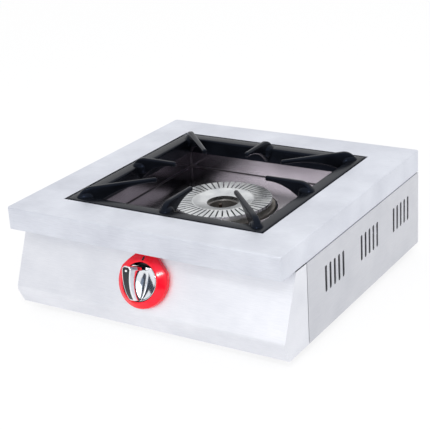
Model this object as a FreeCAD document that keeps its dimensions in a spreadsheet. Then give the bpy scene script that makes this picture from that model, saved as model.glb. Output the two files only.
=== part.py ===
import FreeCAD, Part
import Sketcher
import math
import os
import re

# A single burner gas stove for a counter top, in millimetres.
# X runs to the right, Y to the back and Z up. The origin is on the table, under the middle of the stove.
# The knob and the valve are made in a frame on the sloping front: Z out of the panel, Y up along it.
# The burner is made in a frame of its own too: Z up its axis, from the seat of the cap.

# Driving dimensions
SIZES = {
    # casing
    "casing_width": 400,
    "casing_depth": 400,
    "rim_top": 150,
    "rim_height": 30,
    "rim_corner": 4,
    "rim_edge": 2,
    "sheet": 1.5,
    "fold_gap": 2.5,
    "panel_inset": 0.5,
    "tongue_gap": 0.3,
    "tongue_end": 10,
    "soffit_depth": 56,
    "body_bottom": 12,
    "panel_setback": 36,
    "bulge_height": 35,
    "chin_setback": 12,
    "front_bend": 12,
    "cheek_depth": 61,
    "cheek_notch": 3.2,
    "seam_gap": 1.2,
    "side_flange": 50,
    "edge_flange": 14,
    "flange_gap": 0.5,
    # side vents
    "vent_width": 5.2,
    "vent_length": 35,
    "vent_pitch": 12,
    "vent_drop": 55,
    "vent_group_pitch": 101.5,
    "vent_middle": 36,
    "vent_count": 5,
    "vent_groups": 3,
    # base plate and its air slots
    "base_margin": 1,
    "base_front_margin": 5,
    "base_slot_length": 90,
    "base_slot_width": 8,
    "base_slot_inner": 25,
    "base_slot_first": 60,
    "base_slot_pitch": 24,
    "base_slot_rows": 3,
    # feet and fasteners
    "foot_side_inset": 35,
    "foot_end_inset": 52,
    "foot_radius": 13,
    "foot_top_radius": 14.5,
    "foot_recess_radius": 5.5,
    "foot_recess_depth": 5,
    "screw_radius": 2.4,
    "screw_head_radius": 4.2,
    "screw_head_height": 2.6,
    "screw_end": 1.5,
    "screw_clearance": 0.2,
    "nut_circumradius": 4.6,
    "nut_height": 3.2,
    "tapping_radius": 1.7,
    "tapping_head_radius": 3.4,
    "tapping_head_height": 1.8,
    "tapping_end": 4,
    "base_screw_inset": 22,
    "base_screw_spread": 75,
    "rear_screw_low": 32,
    "rear_screw_pitch": 34,
    "rear_screw_rows": 3,
    # opening, pan support and drip tray
    "support_size": 290,
    "support_gap": 2.5,
    "recess_depth": 6,
    "ledge_width": 13,
    "tray_sheet": 0.8,
    "tray_gap": 0.8,
    "tray_depth": 46,
    "tray_corner": 2.5,
    "tray_flange_inset": 1,
    "tray_lip": 4,
    "tray_hole_gap": 4,
    "support_wall": 5,
    "support_wall_gap": 1,
    "support_wall_corner": 5,
    "support_inner_corner": 3,
    "support_flange_corner": 3,
    "support_drop": 22,
    # fingers of the pan support
    "finger_rise": 12,
    "finger_tip": 70,
    "finger_hump": 121,
    "finger_foot": 139,
    "corner_tip": 85,
    "corner_hump": 170,
    "corner_foot": 191,
    "finger_tip_height": 7,
    "finger_tip_round": 2,
    "finger_hump_radius": 21,
    "finger_under_radius": 66,
    "corner_under_radius": 130,
    "finger_root_width": 7.5,
    "finger_tip_width": 5,
    "finger_bottom_rise": 2,
    "finger_bite": 3,
    "root_width": 14,
    "root_rise": 6,
    "root_reach": 9,
    "root_foot": 1.5,
    "root_bottom_rise": 8,
    "root_radius": 16,
    # burner cap and body
    "burner_x": 2,
    "burner_y": 1,
    "seat_drop": 41,
    "cap_radius": 66,
    "cap_height": 10,
    "cap_band": 4,
    "cap_skirt_radius": 58,
    "cap_skirt_inner": 50,
    "cap_spigot_radius": 53,
    "cap_spigot_depth": 3,
    "cap_dish_radius": 40,
    "cap_dish": 4,
    "cap_hole": 22,
    "cap_collar": 4,
    "cap_slot_start": 42,
    "cap_slot_width": 2,
    "cap_slot_depth": 5,
    "cap_slot_count": 48,
    "body_radius": 70,
    "body_lip": 4,
    "bowl_top_radius": 60,
    "bowl_bottom_radius": 46,
    "bowl_waist": 30,
    "bowl_depth": 43,
    "bowl_wall": 4.5,
    "bore_radius": 20,
    "bore_wall": 4.5,
    "mixer_drop": 25,
    "mixer_radius": 15,
    "mixer_wall": 3,
    "mixer_reach": 122,
    "mouth_plate": 3,
    "window_radius": 3,
    "window_circle": 8.6,
    "window_count": 4,
    # injector, its holder and the air shutter
    "shutter_gap": 0.3,
    "shutter_sheet": 1.2,
    "shutter_tab": 6,
    "shutter_tab_width": 8,
    "nozzle_radius": 4.5,
    "nozzle_fit": 0.1,
    "nozzle_reach": 3,
    "nozzle_hex": 7,
    "nozzle_hex_length": 6,
    "nozzle_thread": 4,
    "nozzle_thread_length": 8,
    "jet_radius": 0.8,
    "holder_size": 20,
    "holder_bore": 3,
    "holder_boss_radius": 7,
    "holder_boss_length": 8,
    # brackets inside the casing
    "bracket_sheet": 2,
    "bracket_span": 116,
    "bracket_foot": 22,
    "bracket_screw_reach": 33,
    "injector_foot": 22,
    # valve behind the panel
    "knob_offset": 2.5,
    "knob_height": 74.2,
    "valve_radius": 13,
    "valve_depth": 44,
    "neck_radius": 9,
    "neck_height": 4,
    "neck_clearance": 0.3,
    "valve_nut_circumradius": 13.5,
    "rotor_top_radius": 8,
    "rotor_bottom_radius": 6,
    "rotor_start": 12,
    "rotor_length": 28,
    "rotor_fit": 0.05,
    "chamber_top": 2,
    "chamber_radius": 8.6,
    "spindle_radius": 4,
    "spindle_fit": 0.08,
    "spindle_depth": 22,
    "spindle_tip_radius": 3,
    "spindle_tip_end": 30,
    "spindle_collar": 6.6,
    "spindle_collar_top": 2.5,
    "spindle_collar_height": 1.5,
    "socket_depth": 30,
    "spring_wire": 0.8,
    "spring_radius": 5,
    "spring_seat_gap": 0.3,
    "port_depth": 28,
    "port_radius": 3,
    "port_boss_radius": 8,
    "port_boss_reach": 24,
    "magnet_radius": 10,
    "magnet_length": 22,
    "magnet_stub_radius": 4,
    "magnet_stub_length": 6,
    "push_travel": 4,
    # pipes and the gas inlet
    "feed_radius": 5,
    "supply_radius": 6,
    "pipe_wall": 1,
    "pipe_bend": 20,
    "pipe_nut_fit": 0.1,
    "feed_nut_circumradius": 9,
    "supply_nut_circumradius": 10.5,
    "pipe_nut_height": 12,
    "inlet_x": 150,
    "inlet_height": 48,
    "inlet_radius": 10.48,
    "inlet_reach": 22.5,
    "inlet_shank_radius": 12,
    "inlet_shank_end": 0.5,
    "inlet_relief_radius": 9.6,
    "inlet_relief_length": 2,
    "inlet_bore": 5,
    "inlet_clearance": 0.3,
    "inlet_hex": 16,
    "inlet_hex_length": 8,
    "inlet_boss_radius": 9,
    "inlet_boss_length": 12,
    "lock_nut_circumradius": 17,
    "lock_nut_height": 6,
    # thermocouple in the bore of the burner
    "probe_radius": 2.2,
    "probe_above": 2,
    "probe_below": 16,
    "probe_fit": 0.1,
    "probe_collar_radius": 4,
    "probe_collar_height": 4,
    "clip_sheet": 1.5,
    "clip_width": 14,
    "clip_length": 56,
    "lead_radius": 1.25,
    "lead_bend": 14,
    "lead_floor": 28,
    # knob and bezel
    "bezel_radius": 35.5,
    "bezel_wall": 7,
    "bezel_height": 13.5,
    "bezel_lip_radius": 26.5,
    "bezel_bore": 24.5,
    "bezel_floor": 1.5,
    "bezel_nut_gap": 1,
    "bezel_flat": 31.8,
    "bezel_side_flat": 33,
    "bezel_rise": 2.4,
    "peg_radius": 2,
    "peg_reach": 29,
    "peg_length": 5,
    "peg_fit": 0.1,
    "mark_length": 6,
    "mark_width": 2,
    "mark_depth": 0.8,
    "knob_gap": 0.9,
    "knob_disc": 3,
    "knob_rest_gap": 1,
    "fin_head": 19.4,
    "fin_tail": 22.8,
    "fin_head_width": 13,
    "fin_tail_width": 8,
    "fin_head_chamfer": 3,
    "fin_crown_radius": 55.7,
    "fin_crown_y": 22.8,
    "fin_crown_depth": 9.5,
    "knob_fit": 0.05,
    "knob_bore_margin": 1,
    "inlay_depth": 1,
    "inlay_edge": 1.3,
    "dot_radius": 1.6,
    "dot_inset": 5.5,
}

# Places that several pieces share, worked out from the driving dimensions
RIM_BOTTOM = "(rim_top - rim_height)"
PLATE_BOTTOM = "(rim_top - sheet)"
PANEL_TOP = "(rim_top - rim_height - fold_gap)"
SIDE_FACE = "(casing_width / 2 - panel_inset)"
REAR_FACE = "(casing_depth / 2 - panel_inset)"
SEAM = "(-casing_depth / 2 + cheek_depth)"
FLOOR = "(body_bottom + sheet)"
BASE_TOP = "(body_bottom + 2 * sheet)"
FOOT_X = "(casing_width / 2 - foot_side_inset)"
FOOT_Y = "(casing_depth / 2 - foot_end_inset)"
OPENING = "(support_size / 2 + support_gap)"
LEDGE = "(support_size / 2 + support_gap - ledge_width)"
LEDGE_TOP = "(rim_top - recess_depth)"
TRAY = "(support_size / 2 + support_gap - ledge_width - tray_gap)"
TRAY_FLOOR = "(rim_top - tray_depth)"
WALL_OUT = f"({TRAY} - tray_sheet - support_wall_gap)"
WALL_IN = f"({WALL_OUT} - support_wall)"
WALL_BOTTOM = "(rim_top - support_drop)"
FINGER_TOP = "(rim_top + finger_rise)"
SLOPE = f"(panel_setback / ({RIM_BOTTOM} - bulge_height))"
SKIN = f"(sheet * sqrt(1 + {SLOPE} ^ 2))"
SEAT = "(rim_top - seat_drop)"
BURNER_BASE = f"({BASE_TOP} - {SEAT})"
NOZZLE_X = "(mixer_reach + 2 * shutter_gap + shutter_sheet)"
HOLDER_X = f"({NOZZLE_X} + nozzle_hex_length)"
# Turn of the bezel's two side flats from its top flat, in degrees
BEZEL_FLAT_TURN = 45
DISC_BOTTOM = "(neck_height + push_travel + knob_rest_gap)"
MAGNET_END = "(valve_depth + magnet_length)"
VALVE_END = f"({MAGNET_END} + magnet_stub_length)"

doc = FreeCAD.newDocument("gas_stove")
sheet = doc.addObject("Spreadsheet::Sheet", "Sizes")
for row, (alias, number) in enumerate(SIZES.items(), 1):
    sheet.set(f"A{row}", str(number))
    sheet.setAlias(f"A{row}", alias)
doc.recompute()

nodes = {}
WORD = re.compile(r"[a-z][a-z_]+")
FUNCTIONS = ("sqrt",)
TURNS = {
    "+x": FreeCAD.Rotation(FreeCAD.Vector(0, 1, 0), 90),
    "-x": FreeCAD.Rotation(FreeCAD.Vector(0, 1, 0), -90),
    "+y": FreeCAD.Rotation(FreeCAD.Vector(1, 0, 0), -90),
    "-y": FreeCAD.Rotation(FreeCAD.Vector(1, 0, 0), 90),
    "+z": FreeCAD.Rotation(),
}


def bound(expression):
    """The expression with every size read from the spreadsheet."""
    return WORD.sub(lambda m: m.group() if m.group() in FUNCTIONS else "Sizes." + m.group(), expression)


def value(expression):
    """The number that an expression of sizes comes to."""
    return float(sheet.evalExpression(bound(str(expression))))


def vector(x, y, z):
    return FreeCAD.Vector(value(x), value(y), value(z))


def set_sizes(item, **sizes):
    for name, expression in sizes.items():
        item.setExpression(name, bound(str(expression)))


def set_place(item, at, axis="+z"):
    item.Placement = FreeCAD.Placement(FreeCAD.Vector(), TURNS[axis])
    for letter, expression in zip("xyz", at):
        item.setExpression("Placement.Base." + letter, bound(str(expression)))


def box(name, size, at):
    item = doc.addObject("Part::Box", name)
    set_sizes(item, Length=size[0], Width=size[1], Height=size[2])
    set_place(item, at)
    return item


def square(name, half, low, high):
    """A square block about the Z axis, given its half side."""
    return box(name, (f"2 * {half}", f"2 * {half}", f"{high} - {low}"), (f"-{half}", f"-{half}", low))


def cylinder(name, radius, length, at, axis="+z"):
    item = doc.addObject("Part::Cylinder", name)
    set_sizes(item, Radius=radius, Height=length)
    set_place(item, at, axis)
    return item


def cone(name, low_radius, high_radius, length, at):
    item = doc.addObject("Part::Cone", name)
    set_sizes(item, Radius1=low_radius, Radius2=high_radius, Height=length)
    set_place(item, at)
    return item


def hexagon(name, circumradius, length, at, axis="+z"):
    item = doc.addObject("Part::Prism", name)
    item.Polygon = 6
    set_sizes(item, Circumradius=circumradius, Height=length)
    set_place(item, at, axis)
    return item


def fuse(name, *items):
    item = doc.addObject("Part::MultiFuse", name)
    item.Shapes = list(items)
    return item


def common(name, base, tool):
    item = doc.addObject("Part::Common", name)
    item.Base = base
    item.Tool = tool
    return item


def cut(name, base, *tools):
    item = doc.addObject("Part::Cut", name)
    item.Base = base
    item.Tool = tools[0] if len(tools) == 1 else fuse(name + "_tools", *tools)
    return item


def group(name, items):
    item = doc.addObject("Part::Compound", name)
    item.Links = list(items)
    return item


def rounded(name, base, *choices):
    """Round the edges of a block: each choice is a radius and a test that picks its edges."""
    doc.recompute()
    item = doc.addObject("Part::Fillet", name)
    item.Base = base
    edges = []
    for radius, wanted in choices:
        for number, edge in enumerate(base.Shape.Edges, 1):
            if wanted(edge.BoundBox):
                edges.append((number, value(radius), value(radius)))
    item.Edges = edges
    return item


def upright(bounds):
    return bounds.ZLength > bounds.XLength + bounds.YLength


def level_at(expression):
    height = value(expression)
    return lambda bounds: bounds.ZLength < 1e-6 and abs(bounds.ZMin - height) < 1e-6


def rounded_square(name, half, low, high, radius):
    """A square block about the Z axis whose four upright edges are rounded."""
    return rounded(name, square(name + "_block", half, low, high), (radius, upright))


def draw(body, plane, points, arcs):
    """A closed outline through points; a side may be an arc whose radius turns left (+1) or right (-1)."""
    outline = body.newObject("Sketcher::SketchObject", body.Name + "_outline")
    support = [item for item in body.Origin.OriginFeatures if item.Role == plane][0]
    outline.AttachmentSupport = (support, [""])
    outline.MapMode = "FlatFace"
    places = [vector(across, up, 0) for across, up in points]
    ends = []
    for side, start in enumerate(places):
        end = places[(side + 1) % len(places)]
        if side not in arcs:
            outline.addGeometry(Part.LineSegment(start, end), False)
            ends.append((1, 2))
            continue
        radius, turn = value(arcs[side][0]), arcs[side][1]
        run = end - start
        left = FreeCAD.Vector(-run.y, run.x, 0) / run.Length
        rise = math.sqrt(radius ** 2 - (run.Length / 2) ** 2)
        centre = (start + end) / 2 + left * rise * turn
        first, last = (start, end) if turn > 0 else (end, start)
        angles = [math.atan2(place.y - centre.y, place.x - centre.x) for place in (first, last)]
        circle = Part.Circle(centre, FreeCAD.Vector(0, 0, 1), radius)
        outline.addGeometry(Part.ArcOfCircle(circle, *angles), False)
        ends.append((1, 2) if turn > 0 else (2, 1))
    for side in range(len(places)):
        after = (side + 1) % len(places)
        outline.addConstraint(Sketcher.Constraint("Coincident", side, ends[side][1], after, ends[after][0]))
    for side, place in enumerate(points):
        for kind, expression in zip(("DistanceX", "DistanceY"), place):
            rule = Sketcher.Constraint(kind, -1, 1, side, ends[side][0], value(expression))
            outline.setExpression(f"Constraints[{outline.addConstraint(rule)}]", bound(expression))
    for side, (radius, turn) in arcs.items():
        number = outline.addConstraint(Sketcher.Constraint("Radius", side, value(radius)))
        outline.setExpression(f"Constraints[{number}]", bound(radius))
    return outline


def prism(name, plane, points, length, at=None, arcs={}):
    """An outline on a plane through the origin, carried half its length to each side."""
    body = doc.addObject("PartDesign::Body", name)
    pad = body.newObject("PartDesign::Pad", name + "_pad")
    pad.Profile = draw(body, plane, points, arcs)
    set_sizes(pad, Length=length)
    pad.SideType = "Symmetric"
    body.Tip = pad
    if at:
        set_place(body, at)
    return body


def turned(name, points):
    """A profile of radius and height, turned about the Z axis."""
    body = doc.addObject("PartDesign::Body", name)
    outline = draw(body, "XZ_Plane", points, {})
    turn = body.newObject("PartDesign::Revolution", name + "_turn")
    turn.Profile = outline
    turn.ReferenceAxis = (outline, ["V_Axis"])
    turn.Angle = 360
    body.Tip = turn
    return body


def bent_tube(name, places, bend, outer, wall):
    """A tube along straight runs with tangent bends; a wall of nothing makes a solid wire."""
    edges = []
    start = places[0]
    for before, corner, after in zip(places, places[1:], places[2:]):
        inward = (before - corner).normalize()
        onward = (after - corner).normalize()
        half_turn = (math.pi - inward.getAngle(onward)) / 2
        reach = bend * math.tan(half_turn)
        first = corner + inward * reach
        last = corner + onward * reach
        middle = (inward + onward).normalize()
        centre = corner + middle * (bend / math.cos(half_turn))
        edges.append(Part.LineSegment(start, first).toShape())
        edges.append(Part.Arc(first, centre - middle * bend, last).toShape())
        start = last
    edges.append(Part.LineSegment(start, places[-1]).toShape())
    path = Part.Wire(edges)

    def swept(radius):
        ring = Part.Wire(Part.makeCircle(radius, places[0], places[1] - places[0]))
        return path.makePipeShell([ring], True, True)

    item = doc.addObject("Part::Feature", name)
    item.Shape = swept(outer).cut(swept(outer - wall)) if wall else swept(outer)
    return item


def node(label, item, frame=None):
    """Keep a finished piece under its own name, set in a frame of the stove if it has one."""
    item.Label = label
    if frame:
        item.Placement = frame
    nodes[label] = item
    return item


KNOB_Y = f"(-casing_depth / 2 + panel_setback - ({RIM_BOTTOM} - knob_height) * {SLOPE})"
tilt = math.degrees(math.atan(value(SLOPE)))
knob_frame = FreeCAD.Placement(
    vector("-knob_offset", KNOB_Y, "knob_height"), FreeCAD.Rotation(FreeCAD.Vector(1, 0, 0), 90 - tilt)
)
burner_frame = FreeCAD.Placement(vector("burner_x", "burner_y", SEAT), FreeCAD.Rotation())


def make_top_frame():
    """Folded top: rim, sunk ledge round the opening, and a soffit that closes the underside at the front."""
    top = box(
        "rim_block",
        ("casing_width", "casing_depth", "rim_height"),
        ("-casing_width / 2", "-casing_depth / 2", RIM_BOTTOM),
    )
    top = rounded("rim_rounded", top, ("rim_corner", upright), ("rim_edge", level_at("rim_top")))
    room = box(
        "rim_room",
        ("casing_width - 2 * sheet", "casing_depth - 2 * sheet", "rim_height - sheet"),
        ("sheet - casing_width / 2", "sheet - casing_depth / 2", RIM_BOTTOM),
    )
    room = rounded("rim_room_rounded", room, ("rim_corner - sheet", upright))
    skin = cut("rim_skin", top, room, square("opening_cut", OPENING, LEDGE_TOP, "rim_top + sheet"))
    well = square("recess_block", f"({OPENING} + sheet)", f"({LEDGE_TOP} - sheet)", "rim_top")
    recess = square("recess_room", OPENING, LEDGE_TOP, "(rim_top + sheet)")
    hole = square("recess_hole", LEDGE, f"({LEDGE_TOP} - 2 * sheet)", "rim_top")
    soffit = box(
        "soffit",
        ("casing_width - 2 * sheet - 2 * rim_corner", "soffit_depth - sheet", "sheet"),
        ("sheet + rim_corner - casing_width / 2", "sheet - casing_depth / 2", RIM_BOTTOM),
    )
    node("top_frame", fuse("top_frame_sheet", skin, cut("recess", well, recess, hole), soffit))


def make_front_panel():
    """Sloping front folded with its cheeks, bent into its chin, with flanges at the top and bottom."""
    front = "(-casing_depth / 2)"
    outer = prism(
        "front_block",
        "YZ_Plane",
        [
            (f"{front} + panel_setback", RIM_BOTTOM),
            (front, "bulge_height"),
            (f"{front} + chin_setback", "body_bottom"),
            (SEAM, "body_bottom"),
            (SEAM, RIM_BOTTOM),
        ],
        f"2 * {SIDE_FACE}",
    )
    outer = rounded("front_block_bent", outer, ("front_bend", level_at("bulge_height")))
    chin = "(chin_setback / (bulge_height - body_bottom))"
    inner = prism(
        "front_room",
        "YZ_Plane",
        [
            (f"{front} + panel_setback - {SLOPE} * sheet + {SKIN}", f"{RIM_BOTTOM} - sheet"),
            (f"{front} + {SKIN}", "bulge_height"),
            (f"{front} + chin_setback - {chin} * sheet + {SKIN}", FLOOR),
            (f"{SEAM} + sheet", FLOOR),
            (f"{SEAM} + sheet", f"{RIM_BOTTOM} - sheet"),
        ],
        f"2 * ({SIDE_FACE} - sheet)",
    )
    inner = rounded("front_room_bent", inner, ("front_bend - sheet", level_at("bulge_height")))
    notches = []
    for side, low in (("left", f"-{SIDE_FACE} - sheet"), ("right", f"{SIDE_FACE} - cheek_notch")):
        size = ("cheek_notch + sheet", "cheek_depth + sheet", "fold_gap + sheet")
        notches.append(box(f"cheek_notch_{side}", size, (low, front, PANEL_TOP)))
    neck = cylinder("neck_hole", "neck_radius + neck_clearance", "4 * sheet", ("0", "0", "-2 * sheet"))
    pegs = []
    for side, sign in (("left", "-"), ("right", "")):
        place = (f"{sign}peg_reach", "0", "-2 * sheet")
        pegs.append(cylinder(f"peg_hole_{side}", "peg_radius + peg_fit", "4 * sheet", place))
    holes = fuse("front_holes", neck, *pegs)
    holes.Placement = knob_frame
    floor_holes = []
    for side, sign in (("left", "-"), ("right", "")):
        place = (f"{sign}{FOOT_X}", f"-{FOOT_Y}")
        floor_holes.append(screw_hole(f"front_foot_hole_{side}", "screw_radius", place))
        place = (f"{sign}base_screw_spread", f"-{FOOT_Y}")
        floor_holes.append(screw_hole(f"front_base_hole_{side}", "tapping_radius", place))
    node("front_panel", cut("front_sheet", outer, inner, holes, *notches, *floor_holes))


def screw_hole(name, radius, place):
    """An upright clearance hole for a screw, through the flange and the base plate at one place."""
    return cylinder(name, f"{radius} + screw_clearance", "4 * sheet", (*place, "body_bottom - sheet"))


def rear_screw_hole(name, side_sign, row):
    """A clearance hole for a screw through the back into the flange of a side."""
    at_x = f"{side_sign}({SIDE_FACE} - edge_flange / 2)"
    place = (at_x, f"{REAR_FACE} - 3 * sheet", rear_screw_height(row))
    return cylinder(name, "tapping_radius + screw_clearance", "4 * sheet", place, "+y")


def rear_screw_height(row):
    return f"(rear_screw_low + {row} * rear_screw_pitch)"


def vent_slots():
    """Upright slots with round ends, in groups, right through both sides."""
    slots = []
    groups, count = int(value("vent_groups")), int(value("vent_count"))
    width = "(casing_width + 2 * sheet)"
    start = "(-casing_width / 2 - sheet)"
    low = "(rim_top - vent_drop - vent_length + vent_width / 2)"
    for row in range(groups):
        for number in range(count):
            group_step, slot_step = row - (groups - 1) / 2, number - (count - 1) / 2
            middle = f"(vent_middle + {group_step} * vent_group_pitch + {slot_step} * vent_pitch)"
            tag = f"vent_{row}_{number}"
            size = (width, "vent_width", "vent_length - vent_width")
            slots.append(box(tag, size, (start, f"{middle} - vent_width / 2", low)))
            for end, height in (("low", low), ("high", f"({low} + vent_length - vent_width)")):
                slots.append(cylinder(f"{tag}_{end}", "vent_width / 2", width, (start, middle, height), "+x"))
    return fuse("vent_slots", *slots)


def make_side_panels():
    """Vented sides: a tongue behind the rim, a bottom flange, and narrow flanges at the front and back."""
    vents = vent_slots()
    front = f"({SEAM} + seam_gap)"
    back = f"({REAR_FACE} - sheet)"
    tongue = "(casing_width / 2 - sheet - tongue_gap)"
    profile = [
        (SIDE_FACE, "body_bottom"),
        (SIDE_FACE, PANEL_TOP),
        (tongue, PANEL_TOP),
        (tongue, PLATE_BOTTOM),
        (f"({tongue} - sheet)", PLATE_BOTTOM),
        (f"({tongue} - sheet)", f"({PANEL_TOP} - sheet)"),
        (f"({SIDE_FACE} - sheet)", f"({PANEL_TOP} - sheet)"),
        (f"({SIDE_FACE} - sheet)", FLOOR),
        (f"({SIDE_FACE} - side_flange)", FLOOR),
        (f"({SIDE_FACE} - side_flange)", "body_bottom"),
    ]
    middle = f"({front} + {back}) / 2"
    for side, sign in (("left", "-"), ("right", "")):
        points = [(f"{sign}{across}", up) for across, up in profile]
        sheet_metal = prism(f"{side}_sheet", "XZ_Plane", points, f"{back} - {front}", ("0", middle, "0"))
        low = f"-{SIDE_FACE}" if sign else f"({SIDE_FACE} - edge_flange)"
        bottom = f"({BASE_TOP} + flange_gap)"
        flanges = []
        for end, at_y in (("front", front), ("back", f"{back} - sheet")):
            size = ("edge_flange", "sheet", f"{PANEL_TOP} - fold_gap - {bottom}")
            flanges.append(box(f"{side}_{end}_flange", size, (low, at_y, bottom)))
        folded = fuse(f"{side}_folded", sheet_metal, *flanges)
        holes = [screw_hole(f"{side}_foot_hole", "screw_radius", (f"{sign}{FOOT_X}", FOOT_Y))]
        size = ("edge_flange", "2 * rim_corner", "rim_height + fold_gap")
        holes.append(box(f"{side}_tongue_relief", size, (low, f"{back} - rim_corner", PANEL_TOP)))
        for row, at_y in (("front", "-base_screw_spread"), ("back", "base_screw_spread")):
            place = (f"{sign}({SIDE_FACE} - base_screw_inset)", at_y)
            holes.append(screw_hole(f"{side}_{row}_base_hole", "tapping_radius", place))
        for row in range(int(value("rear_screw_rows"))):
            holes.append(rear_screw_hole(f"{side}_rear_hole_{row}", sign, row))
        node(f"{side}_side_panel", cut(f"{side}_panel", folded, vents, *holes))


def make_rear_panel():
    """Flat back with a tongue behind the rim and the hole for the gas inlet."""
    tongue = "(casing_depth / 2 - sheet - tongue_gap)"
    width = f"2 * {SIDE_FACE}"
    plate = box(
        "rear_plate",
        (width, "sheet", f"{PANEL_TOP} - body_bottom"),
        (f"-{SIDE_FACE}", f"{REAR_FACE} - sheet", "body_bottom"),
    )
    fold = prism(
        "rear_tongue",
        "YZ_Plane",
        [
            (REAR_FACE, PANEL_TOP),
            (tongue, PANEL_TOP),
            (tongue, PLATE_BOTTOM),
            (f"({tongue} - sheet)", PLATE_BOTTOM),
            (f"({tongue} - sheet)", f"({PANEL_TOP} - sheet)"),
            (REAR_FACE, f"({PANEL_TOP} - sheet)"),
        ],
        f"2 * ({SIDE_FACE} - tongue_end)",
    )
    hole = cylinder(
        "inlet_hole",
        "inlet_shank_radius + inlet_clearance",
        "3 * sheet",
        ("inlet_x", f"{REAR_FACE} - 2 * sheet", "inlet_height"),
        "+y",
    )
    holes = []
    for side, sign in (("left", "-"), ("right", "")):
        for row in range(int(value("rear_screw_rows"))):
            holes.append(rear_screw_hole(f"rear_hole_{side}_{row}", sign, row))
    node("rear_panel", cut("rear_sheet", fuse("rear_folded", plate, fold), hole, *holes))


def make_base_plate():
    """Flat base on the bottom flanges, with air slots and holes for the feet and screws."""
    front = "(-casing_depth / 2 + chin_setback + base_front_margin)"
    back = f"({REAR_FACE} - 2 * sheet - base_margin)"
    half = f"({SIDE_FACE} - sheet - base_margin)"
    plate = box("base_block", (f"2 * {half}", f"{back} - {front}", "sheet"), (f"-{half}", front, FLOOR))
    holes = []
    for row in range(int(value("base_slot_rows"))):
        for end, at_y in (("front", "-"), ("back", "")):
            middle = f"{at_y}(base_slot_first + {row} * base_slot_pitch)"
            for side, low in (("left", "-base_slot_inner - base_slot_length"), ("right", "base_slot_inner")):
                size = ("base_slot_length", "base_slot_width", "3 * sheet")
                place = (low, f"{middle} - base_slot_width / 2", "body_bottom")
                holes.append(box(f"air_slot_{end}_{side}_{row}", size, place))
    for number, place in enumerate(foot_places()):
        holes.append(screw_hole(f"base_foot_hole_{number}", "screw_radius", place))
    for number, place in enumerate(base_screw_places()):
        holes.append(screw_hole(f"base_screw_hole_{number}", "tapping_radius", place))
    node("base_plate", cut("base_sheet", plate, *holes))


def foot_places():
    return [(at_x, at_y) for at_x in (f"-{FOOT_X}", FOOT_X) for at_y in (f"-{FOOT_Y}", FOOT_Y)]


def base_screw_places():
    """Two screws in the front flange and two in each side flange."""
    places = [("-base_screw_spread", f"-{FOOT_Y}"), ("base_screw_spread", f"-{FOOT_Y}")]
    for sign in ("-", ""):
        for at_y in ("-base_screw_spread", "base_screw_spread"):
            places.append((f"{sign}({SIDE_FACE} - base_screw_inset)", at_y))
    return places


def make_feet():
    """Rubber feet with sunk screws, and the nuts that hold them on top of the base."""
    feet, screws, nuts = [], [], []
    head_low = "(foot_recess_depth - screw_head_height)"
    screw_top = f"({BASE_TOP} + nut_height + screw_end)"
    for number, place in enumerate(foot_places()):
        floor, head_place, nut_place = (*place, "0"), (*place, head_low), (*place, BASE_TOP)
        block = cone(f"foot_block_{number}", "foot_radius", "foot_top_radius", "body_bottom", floor)
        sink = cylinder(f"foot_sink_{number}", "foot_recess_radius", "foot_recess_depth", floor)
        hole = cylinder(f"foot_hole_{number}", "screw_radius + screw_clearance", "body_bottom", floor)
        feet.append(cut(f"foot_{number}", block, sink, hole))
        head = cylinder(f"foot_head_{number}", "screw_head_radius", "screw_head_height", head_place)
        shank = cylinder(f"foot_shank_{number}", "screw_radius", f"{screw_top} - {head_low}", head_place)
        screws.append(fuse(f"foot_screw_{number}", head, shank))
        nut = hexagon(f"foot_nut_block_{number}", "nut_circumradius", "nut_height", nut_place)
        thread = cylinder(f"foot_thread_{number}", "screw_radius", "nut_height", nut_place)
        nuts.append(cut(f"foot_nut_{number}", nut, thread))
    node("rubber_feet", group("feet", feet))
    node("foot_screws", group("foot_screw_set", screws))
    node("foot_nuts", group("foot_nut_set", nuts))


def make_casing_screws():
    """Tapping screws: up through the bottom flanges into the base, and through the back into the sides."""
    screws = []
    for number, (at_x, at_y) in enumerate(base_screw_places()):
        head = cylinder(
            f"base_head_{number}",
            "tapping_head_radius",
            "tapping_head_height",
            (at_x, at_y, "body_bottom - tapping_head_height"),
        )
        length = f"{BASE_TOP} - body_bottom + tapping_end"
        shank = cylinder(f"base_shank_{number}", "tapping_radius", length, (at_x, at_y, "body_bottom"))
        screws.append(fuse(f"base_screw_{number}", head, shank))
    node("base_screws", group("base_screw_set", screws))
    screws = []
    for side, sign in (("left", "-"), ("right", "")):
        for row in range(int(value("rear_screw_rows"))):
            at_x, height = f"{sign}({SIDE_FACE} - edge_flange / 2)", rear_screw_height(row)
            tag = f"{side}_{row}"
            size = ("tapping_head_radius", "tapping_head_height")
            head = cylinder(f"rear_head_{tag}", *size, (at_x, REAR_FACE, height), "+y")
            length = "(2 * sheet + tapping_end)"
            place = (at_x, f"{REAR_FACE} - {length}", height)
            shank = cylinder(f"rear_shank_{tag}", "tapping_radius", length, place, "+y")
            screws.append(fuse(f"rear_screw_{tag}", head, shank))
    node("rear_screws", group("rear_screw_set", screws))


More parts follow.
